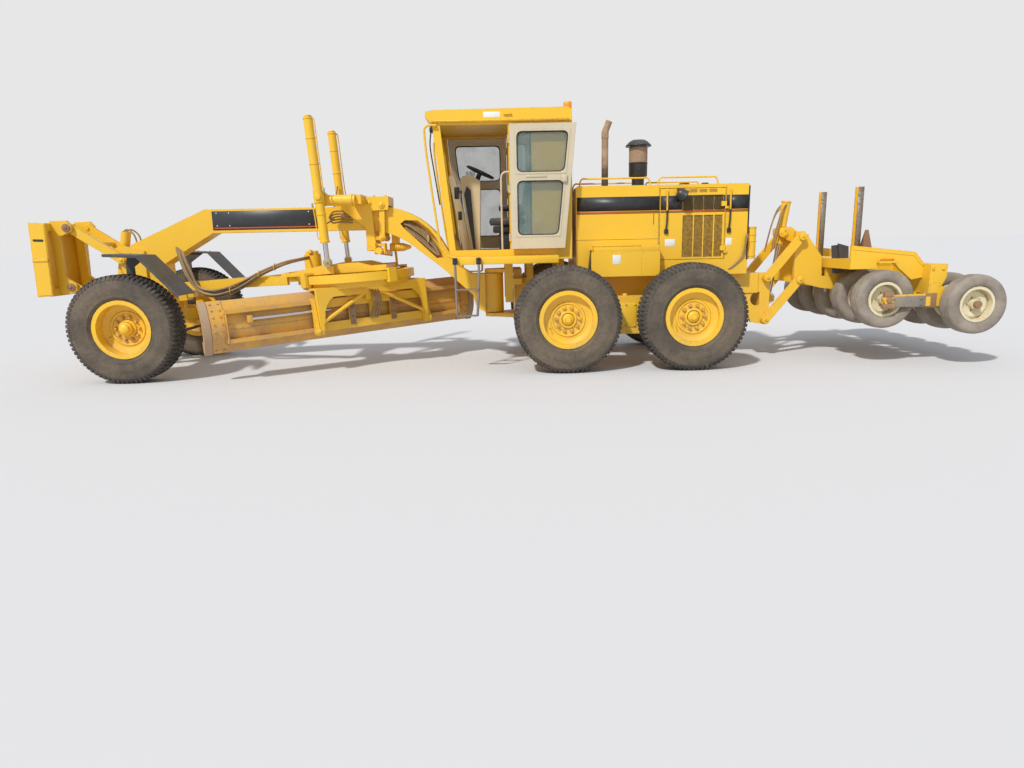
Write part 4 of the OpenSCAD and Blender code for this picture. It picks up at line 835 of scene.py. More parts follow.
beacon_orange = finish_of("beacon_lens", beacon_surface)
beacon = Work().lathe([(0.0, 0.0), (0.054, 0.0), (0.053, 0.010), (0.0515, 0.012), (0.0515, 0.062),
                       (0.044, 0.075),
                       (0.0, 0.0795)], (-5.388, 0.5, 3.1635), "z", 48)
beacon.finish("beacon", "machine", beacon_orange, "paint_yellow")
handles = Work()
handles.tube([(-4.556, 0.556, 1.455), (-4.556, 0.552, 1.60), (-4.556, 0.550, 1.85),
              (-4.556, 0.550, 2.25),
              (-4.562, 0.552, 2.38), (-4.60, 0.556, 2.425), (-4.665, 0.558, 2.430)], 0.013)
handles.finish("cab_grab_handle", "machine", door_cream, "door_grey")
wiper = Work()
for side in sides:
    wiper.tube([(-3.72, side * 0.56, 2.94), (-3.70, side * 0.58, 2.75),
                (-3.735, side * 0.57, 2.45),
                (-3.79, side * 0.56, 2.05)], 0.008)
    wiper.slab(side, (-3.745, -3.700), (0.50, 0.60), (2.905, 2.965), 0.006)
wiper.finish("wipers_and_lamps", "machine", black, "paint_black")
visor = Work()
visor.block((-3.78, -0.50, 2.955), (-3.70, 0.50, 3.008), 0.01)
visor.finish("cab_brow", "machine", black, "paint_black")


# OPERATOR'S PLACE
# Two cream moulded columns stand at the front, one with the control levers and one with the
# gauges; a black rimmed wheel tilts on a post and a cloth seat stands on a steel box.
cream_plastic = paint("cream_panel", (0.64, 0.50, 0.27), dust=0.5, dust_top=3, wear=0.2, chalk=0.5,
                      gloss=0.5)
column = Work()
column.plate([(-4.262, 1.452), (-4.135, 1.452), (-4.030, 2.380), (-4.060, 2.428), (-4.170, 2.445),
              (-4.288, 2.36)],
             -0.11, 0.11, "xz", 0.018)
column.plate([(-4.135, 1.452), (-4.040, 1.452), (-3.876, 2.420), (-3.900, 2.445), (-3.950, 2.446),
              (-4.056, 2.0)],
             -0.07, 0.07, "xz", 0.014)
column.finish("control_columns", "machine", cream_plastic, "console_plastic", ("console",))
inserts = Work()
for side in sides:
    for at, size in (((-3.975, 2.22), (0.030, 0.075)), ((-4.010, 1.93), (0.024, 0.055))):
        inserts.slab(side, (at[0] - size[0], at[0] + size[0]), (0.0695, 0.0745),
                     (at[1] - size[1], at[1] + size[1]), 0.003)
    low, high = sorted((side * 0.1095, side * 0.120))
    inserts.plate([(-4.205, 1.50), (-4.175, 1.50), (-4.075, 2.20), (-4.110, 2.30), (-4.160, 2.25)],
                  low, high, "xz", 0.002)
for k in range(7):
    inserts.tube([(-4.10 - 0.018 * k, -0.06 + 0.02 * k, 2.43),
                  (-4.105 - 0.02 * k, -0.07 + 0.023 * k, 2.50)], 0.004)
inserts.finish("console_inserts", "machine", black, "console_plastic")
wheel = Work()
tilt = Matrix.Translation((-4.290, 0, 2.480)) @ Matrix.Rotation(math.radians(-25), 4, "Y")
ring = [tilt @ Vector((0.180 * math.cos(a), 0.180 * math.sin(a),
                       0)) for a in (math.pi * k / 12 for k in range(24))]
wheel.tube(ring, 0.014, 12, 3, closed=True)
for k in range(3):
    a = 2 * math.pi * k / 3
    wheel.tube([tilt @ Vector((0.02 * math.cos(a), 0.02 * math.sin(a), 0.0)),
                tilt @ Vector((0.10 * math.cos(a), 0.10 * math.sin(a), -0.008)),
                tilt @ Vector((0.178 * math.cos(a), 0.178 * math.sin(a), 0))], 0.009)
wheel.rod(tilt @ Vector((0, 0, -0.12)), tilt @ Vector((0, 0, 0.018)), 0.030, 0.006, 32)
wheel.finish("steering_wheel", "machine", gasket, "console_plastic")


def cloth_surface():
    at = place()
    weave = Wire.node("TexWave", i0=at, Scale=180.0, Distortion=0.6) * 0.5 + noise(240, 2) * 0.5
    base = weave.tint((0.035, 0.034, 0.034), (0.075, 0.070, 0.066))
    base = (noise(3, 6).step(0.45, 0.7) * 0.5).tint(base, (0.16, 0.13, 0.10))
    return {"Base Color": base, "Roughness": 0.9 + weave * 0.06,
            "Normal": Wire.node("Bump", Height=weave, Strength=0.4, Distance=0.0015)}


seat_cloth = finish_of("seat_cloth", cloth_surface)


def cushion(low, high, axis, lean=0.0):
    """A sewn pad: rounded sides, a crowned face and a shallow channel down its middle."""
    low, high = Vector(low), Vector(high)
    part = bmesh.new()
    bmesh.ops.create_cube(part, size=2)
    bmesh.ops.subdivide_edges(part, edges=part.edges[:], cuts=11, use_grid_fill=True)
    half, centre = (high - low) / 2, (high + low) / 2
    for vert in part.verts:
        p = vert.co.copy()
        ball = p.normalized() * max(abs(c) for c in p)
        p = p.lerp(ball, 0.22)
        others = [k for k in range(3) if k != axis]
        swell = (1 - min(1, abs(p[others[0]])) ** 2) * (1 - min(1, abs(p[others[1]])) ** 2)
        channel = math.exp(-(p[1] / 0.06) ** 2) * 0.25
        p[axis] *= 0.86 + 0.14 * swell - 0.10 * channel * swell
        vert.co = Vector([centre[k] + p[k] * half[k] for k in range(3)])
        vert.co.x += lean * (vert.co.z - low.z)
    return Work().take(part)


seat_pad = cushion((-4.88, -0.245, 1.790), (-4.39, 0.245, 1.898), 2)
seat_pad = seat_pad.finish("seat_cushion", "machine", seat_cloth, "seat_cloth", sharp=80)
seat_back = cushion((-4.895, -0.230, 1.905), (-4.795, 0.230, 2.555), 0, lean=-0.18)
seat_back = seat_back.finish("seat_back", "machine", seat_cloth, "seat_cloth", ("operator_seat",),
                             sharp=80)
stand = Work()
stand.block((-4.85, -0.16, 1.452), (-4.52, 0.16, 1.70), 0.012)
stand.block((-4.88, -0.20, 1.70), (-4.44, 0.20, 1.785), 0.02)
for side in sides:
    stand.slab(side, (-4.86, -4.52), (0.258, 0.315), (1.99, 2.045), 0.02)
    stand.rod((-4.80, side * 0.286, 1.77), (-4.80, side * 0.286, 2.00), 0.016, 0.002)
    stand.rod((-4.80, side * 0.286, 1.78), (-4.80, side * 0.15, 1.75), 0.016, 0.002)
stand.finish("seat_stand", "machine", black, "seat_cloth")


# PLATFORMS AND LADDER
# Checkered decks run under both doors, behind a folded skirt. The ladder hangs on rubber-bushed
# brackets and is bare grey steel.
ladder = Work()
for x in (-4.258, -3.972):
    ladder.tube([(x, 0.942, 1.350), (x - 0.002, 0.950, 1.20),
                 (x + (0.012 if x < -4.1 else -0.004), 0.952, 0.95),
                 (x + (0.030 if x < -4.1 else -0.012), 0.950, 0.700)], 0.0155)
for z, x0, x1 in ((1.020, -4.256, -3.968), (0.700, -4.232, -3.978)):
    ladder.block((x0, 0.915, z - 0.006), (x1, 0.975, z + 0.010), 0.004)
    tooth = Work().block((x0 + 0.01, 0.915, z + 0.010), (x0 + 0.016, 0.975, z + 0.016), 0.001)
    ladder.copy_of(repeated(tooth, 17, step=(0.0155, 0, 0)))
ladder.finish("ladder_left", "machine", steel_grey, "paint_black")
decks = Work()
for side in sides:
    decks.slab(side, (-5.233, -3.952), (0.6225, 0.898), (1.3605, 1.4130), 0.003)
    decks.slab(side, (-5.236, -3.950), (0.881, 0.9012), (1.3195, 1.4145), 0.004)
    bump_seed = Work().slab(side, (-5.21, -5.20), (0.66, 0.69), (1.4125, 1.4150), 0.001)
    for k in range(4):
        decks.copy_of(repeated(bump_seed, 60, step=(0.0208, 0, 0)),
                      Matrix.Translation((0.010 * (k % 2), side * 0.055 * k, 0)))
rail_line = ((-3.998, 1.404), (-3.900, 1.412), (-3.840, 1.470), (-3.785, 1.570), (-3.730, 1.98),
             (-3.683, 2.392),
             (-3.655, 2.65), (-3.640, 2.900), (-3.655, 2.955), (-3.700, 2.977), (-3.790, 2.977))
for side in sides:
    decks.tube([(x, side * 0.651, z) for x, z in rail_line], 0.0145)
    decks.slab(side, (-3.790, -3.740), (0.6205, 0.640), (2.950, 2.985), 0.004)
for x in (-4.258, -3.972):
    decks.tube([(x, -0.942, 1.350), (x, -0.950, 1.25), (x, -0.952, 1.165)], 0.0155)
decks.block((-4.258, -0.975, 1.152), (-3.970, -0.915, 1.170), 0.004)
decks.finish("decks_and_rails", "machine", yellow, "paint_yellow", ("platforms",))
bushes = Work()
for x in (-4.258, -3.972):
    for side in sides:
        bushes.slab(side, (x - 0.028, x + 0.028), (0.9012, 0.962), (1.325, 1.405), 0.006)
        hexes(bushes, [(x, side * 0.962, 1.345), (x, side * 0.962, 1.385)], (0, side, 0), 0.008,
              0.010)
bushes.finish("ladder_brackets", "machine", black, "paint_black")


# GOOSENECK
# One long box beam arches from the axle to the hinge. A black side panel with a red line is
# riveted to each side, and hydraulic hoses run inside, seen through the rear windows.
hose_tan = paint("dusty_hose", (0.30, 0.19, 0.085), dust=0.7, dust_top=3, wear=0.0, chalk=0.8,
                 gloss=0.75,
                 soil_colour=(0.50, 0.35, 0.17))
NECK_Y = 0.150
for side, hand in hands:
    panel = flat(Work(), (-0.80, -2.26), (1.805, 2.045), side, NECK_Y, 0.003, 0.001)
    panel.finish("neck_panel_" + hand, "front", band_black, "paint_black")
    line = flat(Work(), (-0.82, -2.24), (1.822, 1.838), side, NECK_Y + 0.003, 0.0012, 0)
    line.finish("neck_line_" + hand, "front", band_red, "paint_yellow")
    rivets = Work()
    for x in (-0.86, -1.02, -2.05, -2.20):
        for z in (1.86, 2.02):
            rivets.rod((x, side * (NECK_Y + 0.003), z), (x, side * (NECK_Y + 0.008), z), 0.008,
                       0.002, 12)
    rivets.finish("neck_rivets_" + hand, "front", label_white, "chrome_rod")
    inside = Work()
    for k in range(8):
        drop = 0.020 * k
        y = side * (0.062 + 0.020 * (k % 4))
        inside.tube([(-3.262 - 0.004 * k, y, 1.872 - drop * 0.55), (-3.36, y, 1.862 - drop * 1.05),
                     (-3.47 - 0.003 * k, y, 1.800 - drop * 1.35), (-3.58, y, 1.690 - drop * 1.15),
                     (-3.675, y, 1.560 - drop * 0.8), (-3.735 + 0.004 * k, y, 1.430)], 0.0115, 8,
                    5)
    inside.finish("neck_hoses_" + hand, "front", hose_tan, "tyre_rubber")
    clip = Work()
    clip.slab(side, (-3.60, -3.57), (0.045, 0.146), (1.60, 1.69), 0.006)
    clip.finish("neck_hose_clip_" + hand, "front", hardware, "paint_yellow")
    entry = Work()
    for k in range(5):
        z = 2.015 - 0.034 * k
        entry.tube([(-2.345 - 0.006 * k, side * 0.30, 1.93 - 0.012 * k),
                    (-2.39, side * 0.26, z - 0.015),
                    (-2.46, side * 0.19, z), (-2.56, side * 0.162, z - 0.006),
                    (-2.615, side * 0.150, z - 0.01)],
                   0.010, 8, 5)
    entry.tube([(-2.300, side * 0.535, 2.38), (-2.265, side * 0.50, 2.20),
                (-2.225, side * 0.46, 1.98),
                (-2.262, side * 0.42, 1.86), (-2.330, side * 0.34, 1.865),
                (-2.40, side * 0.27, 1.92)], 0.010)
    entry.finish("saddle_hoses_" + hand, "front", hose_tan, "tyre_rubber")


# FRONT FENDERS
# Folded black sheet over each steered wheel, grey with dust, bolted to a bracket on the knuckle.
fender_black = paint("fender_black", (0.030, 0.029, 0.028), dust=1.0, dust_top=2.6, wear=0.2,
                     rust=(0.12, 0.09, 0.06), chalk=0.9, soil_colour=(0.13, 0.11, 0.085))
dress(fender_black, "fender_left", "fender_right")
for side, hand in hands:
    low, high = sorted((side * 1.2265, side * 1.2305))
    edge = Work()
    edge.plate([(0.09, 1.541), (-0.315, 1.521), (-0.744, 1.049), (-0.732, 1.010), (-0.700, 1.046),
                (-0.300, 1.488), (0.088, 1.508)], low, high, "xz", 0.001)
    edge.finish("fender_lip_" + hand, "steer_" + hand, fender_black, "fender_black")
    bolts = hexes(Work(), [(-0.03, side * y, 1.536) for y in (0.83, 1.00, 1.16)]
                  + [(-0.20, side * y, 1.528) for y in (0.83, 1.00, 1.16)], (0, 0, 1), 0.009,
                  0.009)
    bolts.finish("fender_bolts_" + hand, "steer_" + hand, hardware, "chrome_rod")


# BLADE LIFT AND SIDE SHIFT
# Two tall cylinders hang in the round arms of the saddle. Thin oil pipes run down their barrels,
# and chrome rods end in ball sockets on the drawbar.
def chrome_surface():
    fine = noise(40, 3)
    return {"Base Color": fine.tint((0.55, 0.55, 0.56), (0.75, 0.75, 0.76)),
            "Roughness": 0.12 + fine * 0.12}


chrome = finish_of("rod_chrome", chrome_surface, Metallic=1.0)
dress(chrome, "lift_rods", "shift_rod", "rear_lift_rod", "front_lift_rod")
TILT = math.radians(3)
BALL, CIRCLE_BACK, BLADE_ANGLE = (-0.230, 0, 0.980), 2.370, math.radians(57)
at_ball = Matrix.Translation(BALL) @ Matrix.Rotation(TILT, 4, "Y")
at_circle = (at_ball @ Matrix.Translation((-CIRCLE_BACK, 0, 0))
             @ Matrix.Rotation(-BLADE_ANGLE, 4, "Z"))
lift_top = Vector((-2.310, 0.620, 2.170))
lift_eye = at_ball @ Vector((-2.150, 0.620, 0.285))
down = (lift_eye - lift_top).normalized()
fore = Vector((-down.z, 0, down.x))
for side, hand in hands:

    def beside(along, ahead, out):
        p = lift_top + down * along + fore * ahead
        return Vector((p.x, side * (p.y + out), p.z))

    pipes = Work()
    pipes.tube([beside(-0.90, -0.050, 0.020), beside(-0.88, -0.074, 0.020),
                beside(-0.50, -0.074, 0.020),
                beside(-0.14, -0.074, 0.030), beside(-0.09, -0.080, 0.050)], 0.007)
    pipes.tube([beside(0.50, 0.050, 0.020), beside(0.48, 0.074, 0.020), beside(0.30, 0.074, 0.020),
                beside(0.10, 0.078, 0.030)], 0.007)
    for along in (-0.928, -0.70, -0.40, 0.20, 0.525):
        pipes.rod(beside(along, 0, 0), beside(along + 0.020, 0, 0), 0.0605, 0.002, 40)
    pipes.rod(beside(-0.935, 0, 0), beside(-0.955, 0, 0), 0.045, 0.006, 32)
    pipes.rod(beside(0.542, 0, 0), beside(0.556, 0, 0), 0.060, 0.004, 40)
    pipes.rod(beside(0, 0, 0.066), beside(0, 0, 0.080), 0.040, 0.006, 32)
    pipes.finish("lift_pipes_" + hand, "lift_barrel_pair", yellow, "paint_yellow")
    fitting = Work()
    fitting.rod(beside(-0.10, -0.085, 0.05), beside(-0.04, -0.085, 0.05), 0.013, 0.002, 6)
    fitting.rod(beside(0.07, 0.082, 0.03), beside(0.12, 0.082, 0.03), 0.013, 0.002, 6)
    fitting.finish("lift_fittings_" + hand, "lift_barrel_pair", hardware, "chrome_rod")
    socket = Work()
    socket.rod((lift_eye.x, side * lift_eye.y, lift_eye.z),
               Vector((lift_eye.x, side * 0.665, lift_eye.z)), 0.050, 0.008, 40)
    hexes(socket, [(lift_eye.x, side * 0.663, lift_eye.z)], (0, side, 0), 0.016, 0.014)
    socket.finish("lift_ball_cap_" + hand, "lift_rod_pair", hardware, "chrome_rod")
caps = Work()
for side in sides:
    for x, z, r in ((-3.008, 2.080, 0.040), (-2.992, 1.665, 0.032), (-2.850, 2.105, 0.030)):
        caps.rod((x, side * 0.218, z), (x, side * 0.234, z), r, 0.005, 32)
        hexes(caps, [(x, side * 0.234, z)], (0, side, 0), r * 0.42, 0.010)
    hexes(caps, [(x, side * 0.11, 2.188) for x in (-2.74, -2.90, -3.05)], (0, 0, 1), 0.018, 0.020)
    caps.rod((-2.352, side * 0.48, 2.135), (-2.325, side * 0.48, 2.135), 0.074, 0.006, 40)
    caps.rod((-2.700, side * 0.48, 2.135), (-2.672, side * 0.48, 2.135), 0.078, 0.006, 40)
    hexes(caps, [(-2.310, side * (0.545), 2.169 + 0.062 * s) for s in sides], (0, side, 0), 0.010,
          0.010)
rib = Work().lathe([(0.0525, 0), (0.056, 0.004), (0.056, 0.014), (0.0525, 0.018), (0.040, 0.018),
                    (0.040, 0)], (0, 0, 0), "x")
caps.copy_of(repeated(rib, 6, step=(-0.030, 0, 0)), Matrix.Translation((-3.090, 0, 1.541)))
caps.finish("saddle_caps", "front", yellow, "paint_yellow")


# DRAWBAR
# A welded A-frame from the ball to the circle. A bundle of dusty hoses drops off the gooseneck
# and lies along its left beam under plastic ties.
for k in range(8):
    hoses = Work()
    spread, rise = 0.020 * (k % 4), 0.024 * (k // 2)
    hoses.tube([(-0.300 - 0.012 * k, 0.158, 1.60 - 0.01 * k),
                (-0.330 - 0.012 * k, 0.172 + spread / 3, 1.45),
                (-0.410 - 0.010 * k, 0.17 + spread / 2, 1.20 + rise),
                (-0.560, 0.19 + spread / 2, 1.015 + rise),
                (-0.780, 0.27 + spread, 0.955 + rise * 1.2),
                (-1.02, 0.33 + spread, 1.000 + rise * 1.2),
                (-1.22, 0.38 + spread, 1.085 + rise), (-1.44, 0.44 + spread, 1.215 + rise * 0.6),
                (-1.66, 0.49 + spread / 2, 1.310 + rise * 0.5),
                (-1.80, 0.44 + spread / 2, 1.365 + rise * 0.4),
                (-1.92, 0.31, 1.400 + rise * 0.3), (-1.985, 0.17, 1.415 + rise * 0.3),
                (-2.005, 0.07, 1.420 + rise * 0.3)], 0.0125, 8, 6)
    hose = hoses.finish("drawbar_hose_%d" % k, None, hose_tan, "tyre_rubber")
    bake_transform(hose)
ties = Work()
for x, y, z, wide, tall in ((-1.03, 0.362, 1.045, 0.047, 0.060),
                            (-1.45, 0.472, 1.243, 0.048, 0.042),
                            (-1.66, 0.505, 1.330, 0.038, 0.040)):
    ring = [(x, y + wide * math.cos(t),
             z + tall * math.sin(t)) for t in (math.pi * k / 8 for k in range(16))]
    ties.tube(ring, 0.006, 8, 2, closed=True)
ties.finish("hose_ties", "draw", yellow, "paint_yellow")
motor = Work()
motor.rod(at_ball @ Vector((-1.810, 0, 0.38)), at_ball @ Vector((-1.810, 0, 0.44)), 0.085, 0.010,
          40)
motor.rod(at_ball @ Vector((-1.810, 0.03, 0.43)), at_ball @ Vector((-1.810, 0.13, 0.43)), 0.03,
          0.004, 6)
places = [at_ball @ Vector((-1.810 + 0.097 * math.cos(a), 0.097 * math.sin(a), 0.39))
          for a in (math.pi * k / 4 for k in range(8))]
hexes(motor, places, (0, 0, 1), 0.009, 0.010)
motor.finish("circle_drive_head", "draw", yellow, "paint_yellow")


# BLADE AND CIRCLE
# The mouldboard is rolled plate with a bolted cutting edge and end bits, scoured to rust along
# the bottom. Its rails slide in the carrier's claws, pushed by a chrome side-shift rod.
edge_steel = paint("scoured_edge", (0.42, 0.29, 0.18), dust=0.8, dust_top=2, wear=2.0,
                   rust=(0.24, 0.13, 0.07),
                   chalk=0.9, gloss=0.5, soil_colour=(0.46, 0.30, 0.17))
BLADE_HALF, BLADE_OFFSET = 1.829, 0.250
blade_low, blade_high = -BLADE_HALF + BLADE_OFFSET, BLADE_HALF + BLADE_OFFSET
edge_x, arc_x, arc_r, arc_h = -0.178, 0.100, 0.438, -0.365
half_angle = math.asin(0.305 / arc_r)


def blade_arc(radius, start, stop, steps=14):
    return [(arc_x - radius * math.cos(a), arc_h + radius * math.sin(a))
            for a in (start + (stop - start) * k / steps for k in range(steps + 1))]


edge = Work()
edge.block((edge_x - 0.022, blade_low, -0.668), (edge_x - 0.0095, blade_high, -0.530), 0.002,
           at_circle)
heads = Work()
for h in (-0.625, -0.570):
    head = Work().rod((edge_x - 0.022, blade_low + 0.08, h), (edge_x - 0.034, blade_low + 0.08, h),
                      0.013, 0.002, 6)
    heads.copy_of(repeated(head, 23, step=(0, 0.159, 0)), at_circle)
heads.finish("edge_bolts", "mouldboard", hardware, "blade_yellow")
for end, way in ((blade_low, 1), (blade_high, -1)):
    board = blade_arc(arc_r + 0.014, -half_angle - 0.02, half_angle) + blade_arc(arc_r - 0.016,
                                                                                 half_angle,
                                                                                 -half_angle - 0.02)
    low, high = sorted((end - way * 0.002, end + way * 0.085))
    edge.plate(board, low, high, "xz", 0.003, at_circle)
edge.finish("cutting_edge", "mouldboard", edge_steel, "blade_yellow")
ends = Work()
for end, way in ((blade_low, 1), (blade_high, -1)):
    band = blade_arc(arc_r + 0.010, -half_angle, half_angle) + blade_arc(arc_r - 0.002, half_angle,
                                                                         -half_angle)
    low, high = sorted((end + way * 0.088, end + way * 0.255))
    ends.plate(band, low, high, "xz", 0.002, at_circle)
    for u in (0.125, 0.215):
        for k in range(8):
            a = -half_angle * 0.85 + 1.7 * half_angle * k / 7
            out = Vector((-math.cos(a), 0, math.sin(a)))
            foot = Vector((arc_x, end + way * u, arc_h)) + out * (arc_r + 0.010)
            ends.rod(at_circle @ foot, at_circle @ (foot + out * 0.012), 0.013, 0.002, 6)
back_x = -0.338
for h in (-0.40, -0.345):
    ends.block((back_x - 0.004, blade_low + 0.19, h),
               (back_x + 0.01, blade_high - 0.19, h + 0.008), 0.002, at_circle)
for u in (blade_low + 0.26, blade_high - 0.27):
    ends.block((back_x - 0.050, u, -0.570), (back_x + 0.02, u + 0.012, -0.160), 0.003, at_circle)
ends.finish("blade_ends", "mouldboard", worn_yellow, "blade_yellow")
slide = Work()
slide.rod(at_circle @ Vector((-0.375, 0.55, -0.300)), at_circle @ Vector((-0.375, 1.55, -0.300)),
          0.019, 0.003, 32)
slide.finish("side_shift_rod", "mouldboard", chrome, "chrome_rod")
lug = Work().block((-0.410, 1.52, -0.345), (-0.335, 1.58, -0.255), 0.006, at_circle)
lug.finish("side_shift_lug", "mouldboard", worn_yellow, "blade_yellow")
rusty = paint("rusty_bracket", (0.30, 0.15, 0.065), dust=0.7, dust_top=2.5, wear=1.5,
              rust=(0.20, 0.10, 0.05), chalk=0.9,
              gloss=0.7)
brackets = Work()
for u in (-0.285, 0.285):
    brackets.block((-0.4385, u - 0.036, -0.520), (-0.4265, u + 0.036, -0.215), 0.003, at_circle)
    places = [at_circle @ Vector((-0.4385, u, h)) for h in (-0.49, -0.42, -0.30, -0.24)]
    hexes(brackets, places, at_circle.to_3x3() @ Vector((-1, 0, 0)), 0.010, 0.010)
brackets.finish("carrier_brackets", "blade_tilt", rusty, "paint_yellow")
mid_hoses = Work()
for k in range(4):
    u = -0.05 + 0.035 * k
    mid_hoses.tube([at_circle @ Vector((-0.52, u, -0.10)),
                    at_circle @ Vector((-0.56 - 0.01 * k, u - 0.02, -0.19)),
                    at_circle @ Vector((-0.50, u - 0.04, -0.30)),
                    at_circle @ Vector((-0.45, u - 0.03, -0.38)),
                    at_circle @ Vector((-0.44, u, -0.47))], 0.010, 8, 5)
mid_hoses.finish("tip_hoses", "turntable", hose_tan, "tyre_rubber")


# FRONT LIFT GROUP
# Parallel arms carry a plate frame for front tools. Pins have round keeper heads, and the lift
# cylinder stands between the arms with two short hoses.
pins = Work()
f_up, f_low, f_link = Vector((0.380, 1.450)), Vector((0.419, 0.698)), Vector((0.631, 0.421))
for side in sides:
    for p in (f_up, f_low):
        pins.rod((p.x, side * 0.240, p.y), (p.x, side * 0.262, p.y), 0.044, 0.006, 32)
        hexes(pins, [(p.x, side * 0.262, p.y)], (0, side, 0), 0.014, 0.010)
pins.finish("front_arm_pins", "front", yellow, "paint_yellow")
tips = Work()
for side in sides:
    for p in (f_up + f_link, f_low + f_link):
        tips.rod((p.x, side * 0.2845, p.y), (p.x, side * 0.300, p.y), 0.052, 0.006, 32)
        hexes(tips, [(p.x, side * 0.300, p.y)], (0, side, 0), 0.016, 0.010)
tips.finish("front_tip_pins", "hitch", rusty, "paint_yellow")
face = Work()
for side in sides:
    low, high = sorted((side * 0.450, side * 0.4545))
    face.plate([(1.366, 1.925), (1.184, 1.914), (1.206, 1.034), (1.383, 1.024)], low, high, "xz",
               0.002)
    face.block((1.19, low, 1.455), (1.39, high + (0.01 if side > 0 else 0), 1.49), 0.003)
face.finish("hitch_cheeks", "hitch", yellow, "paint_yellow")
# The black rounded plates on the cheeks are painted shade standing for the slits through them.
slit_shade = Work()
for side in sides:
    low, high = sorted((side * 0.4545, side * 0.4560))
    slit_shade.plate(rounded([(1.215, 1.700), (1.345, 1.706), (1.345, 1.735), (1.215, 1.730)], 0.01, 3),
                low, high, "xz", 0)
slit_shade.finish("hitch_slit_shade", "hitch", black, "paint_black")
short = Work()
for k in range(2):
    y = 0.03 - 0.06 * k
    short.tube([(0.44, y, 1.80), (0.36, y * 1.5, 1.84), (0.28, y * 2, 1.78), (0.25, y * 2, 1.68),
                (0.26, y * 2, 1.60)], 0.011)
short.finish("front_lift_hoses", "front", hose_tan, "tyre_rubber")


# REAR LIFT GROUP
# The same kind of parallel links hold the roller. A canister with a clamp and three hoses stands
# behind the hood, and the lift cylinder hangs between curved horns.
rear_pins = Work()
r_up, r_low, r_link = Vector((-8.004, 1.052)), Vector((-8.004, 0.502)), Vector((-0.425, 0.522))
for side in sides:
    for p in (r_up, r_low):
        rear_pins.rod((p.x, side * 0.4225, p.y), (p.x, side * 0.440, p.y), 0.048, 0.006, 32)
        hexes(rear_pins, [(p.x, side * 0.440, p.y)], (0, side, 0), 0.014, 0.010)
rear_pins.finish("rear_link_pins", "machine", yellow, "paint_yellow")
carrier_pins = Work()
for side in sides:
    for p in (r_up + r_link, r_low + r_link):
        carrier_pins.rod((p.x, side * 0.4225, p.y), (p.x, side * 0.440, p.y), 0.050, 0.006, 32)
        hexes(carrier_pins, [(p.x, side * 0.440, p.y)], (0, side, 0), 0.014, 0.010)
    carrier_pins.rod((-8.300, side * 0.102, 1.623), (-8.300, side * 0.120, 1.623), 0.062, 0.006,
                     40)
    hexes(carrier_pins, circle_of(3, 0.036, (-8.300, side * 0.120, 1.623)), (0, side, 0), 0.008,
          0.008)
    carrier_pins.rod((-9.087, side * 0.345, 0.948), (-9.087, side * 0.349, 0.948), 0.030, 0.001,
                     24)
carrier_pins.finish("carrier_pins", "carrier", yellow, "paint_yellow")
canister = Work()
for z in (1.335, 1.520, 1.600, 1.690):
    canister.lathe([(0.0665, z), (0.0705, z + 0.003), (0.0705, z + 0.017), (0.0665, z + 0.020),
                    (0.05, z + 0.02), (0.05, z)],
                   (-7.756, 0.400, 0), "z", 48)
canister.finish("canister_bands", "machine", yellow, "paint_yellow")
rear_hoses = Work()
for k in range(4):
    y = 0.425 + 0.022 * k
    rear_hoses.tube([(-7.705 + 0.01 * k, y + 0.03, 1.66 - 0.03 * k), (-7.665, y + 0.05, 1.60),
                     (-7.655 + 0.006 * k, y + 0.05, 1.44),
                     (-7.610, y + 0.03, 1.33), (-7.56 + 0.03 * k, y + 0.01, 1.25 - 0.02 * k),
                     (-7.50 + 0.03 * k, y - 0.03, 1.19)], 0.010, 8, 6)
rear_hoses.finish("canister_hoses", "machine", hose_tan, "tyre_rubber")
lift_hoses = Work()
for side in sides:
    lift_hoses.tube([(-8.335, side * 0.066, 2.00), (-8.275, side * 0.100, 1.92),
                     (-8.220, side * 0.130, 1.72),
                     (-8.175, side * 0.130, 1.52), (-8.14, side * 0.110, 1.38)], 0.010)
    lift_hoses.tube([(-8.335, side * 0.055, 1.98), (-8.255, side * 0.090, 1.86),
                     (-8.195, side * 0.105, 1.66),
                     (-8.150, side * 0.105, 1.46)], 0.008)
lift_hoses.finish("rear_lift_hoses", "rear_barrel", hose_tan, "tyre_rubber")
collar = Work()
axis = (Vector((-8.180, 0, 0.760)) - Vector((-8.300, 0, 1.623))).normalized()
for along in (-0.418, -0.10, 0.125):
    at = Vector((-8.300, 0, 1.623)) + axis * along
    collar.rod(at, at + axis * 0.022, 0.0635, 0.003, 40)
collar.finish("rear_barrel_collars", "rear_barrel", yellow, "paint_yellow")


# ROLLER
# Eleven smooth tyres on cream pressed rims in two staggered rows, under a welded frame. Grey
# walking beams hold the front row; two punched posts and a pointed plate stand on the frame.
def roller_rubber_surface():
    fine, dust = noise(80, 3), noise(3, 8, 0.7).step(0.3, 0.7)
    bumps = Wire.node("Bump", Height=fine, Strength=0.2, Distance=0.002)
    return {"Base Color": dust.tint((0.20, 0.165, 0.13), (0.34, 0.29, 0.23)),
            "Roughness": 0.86 + fine * 0.1,
            "Normal": bumps}


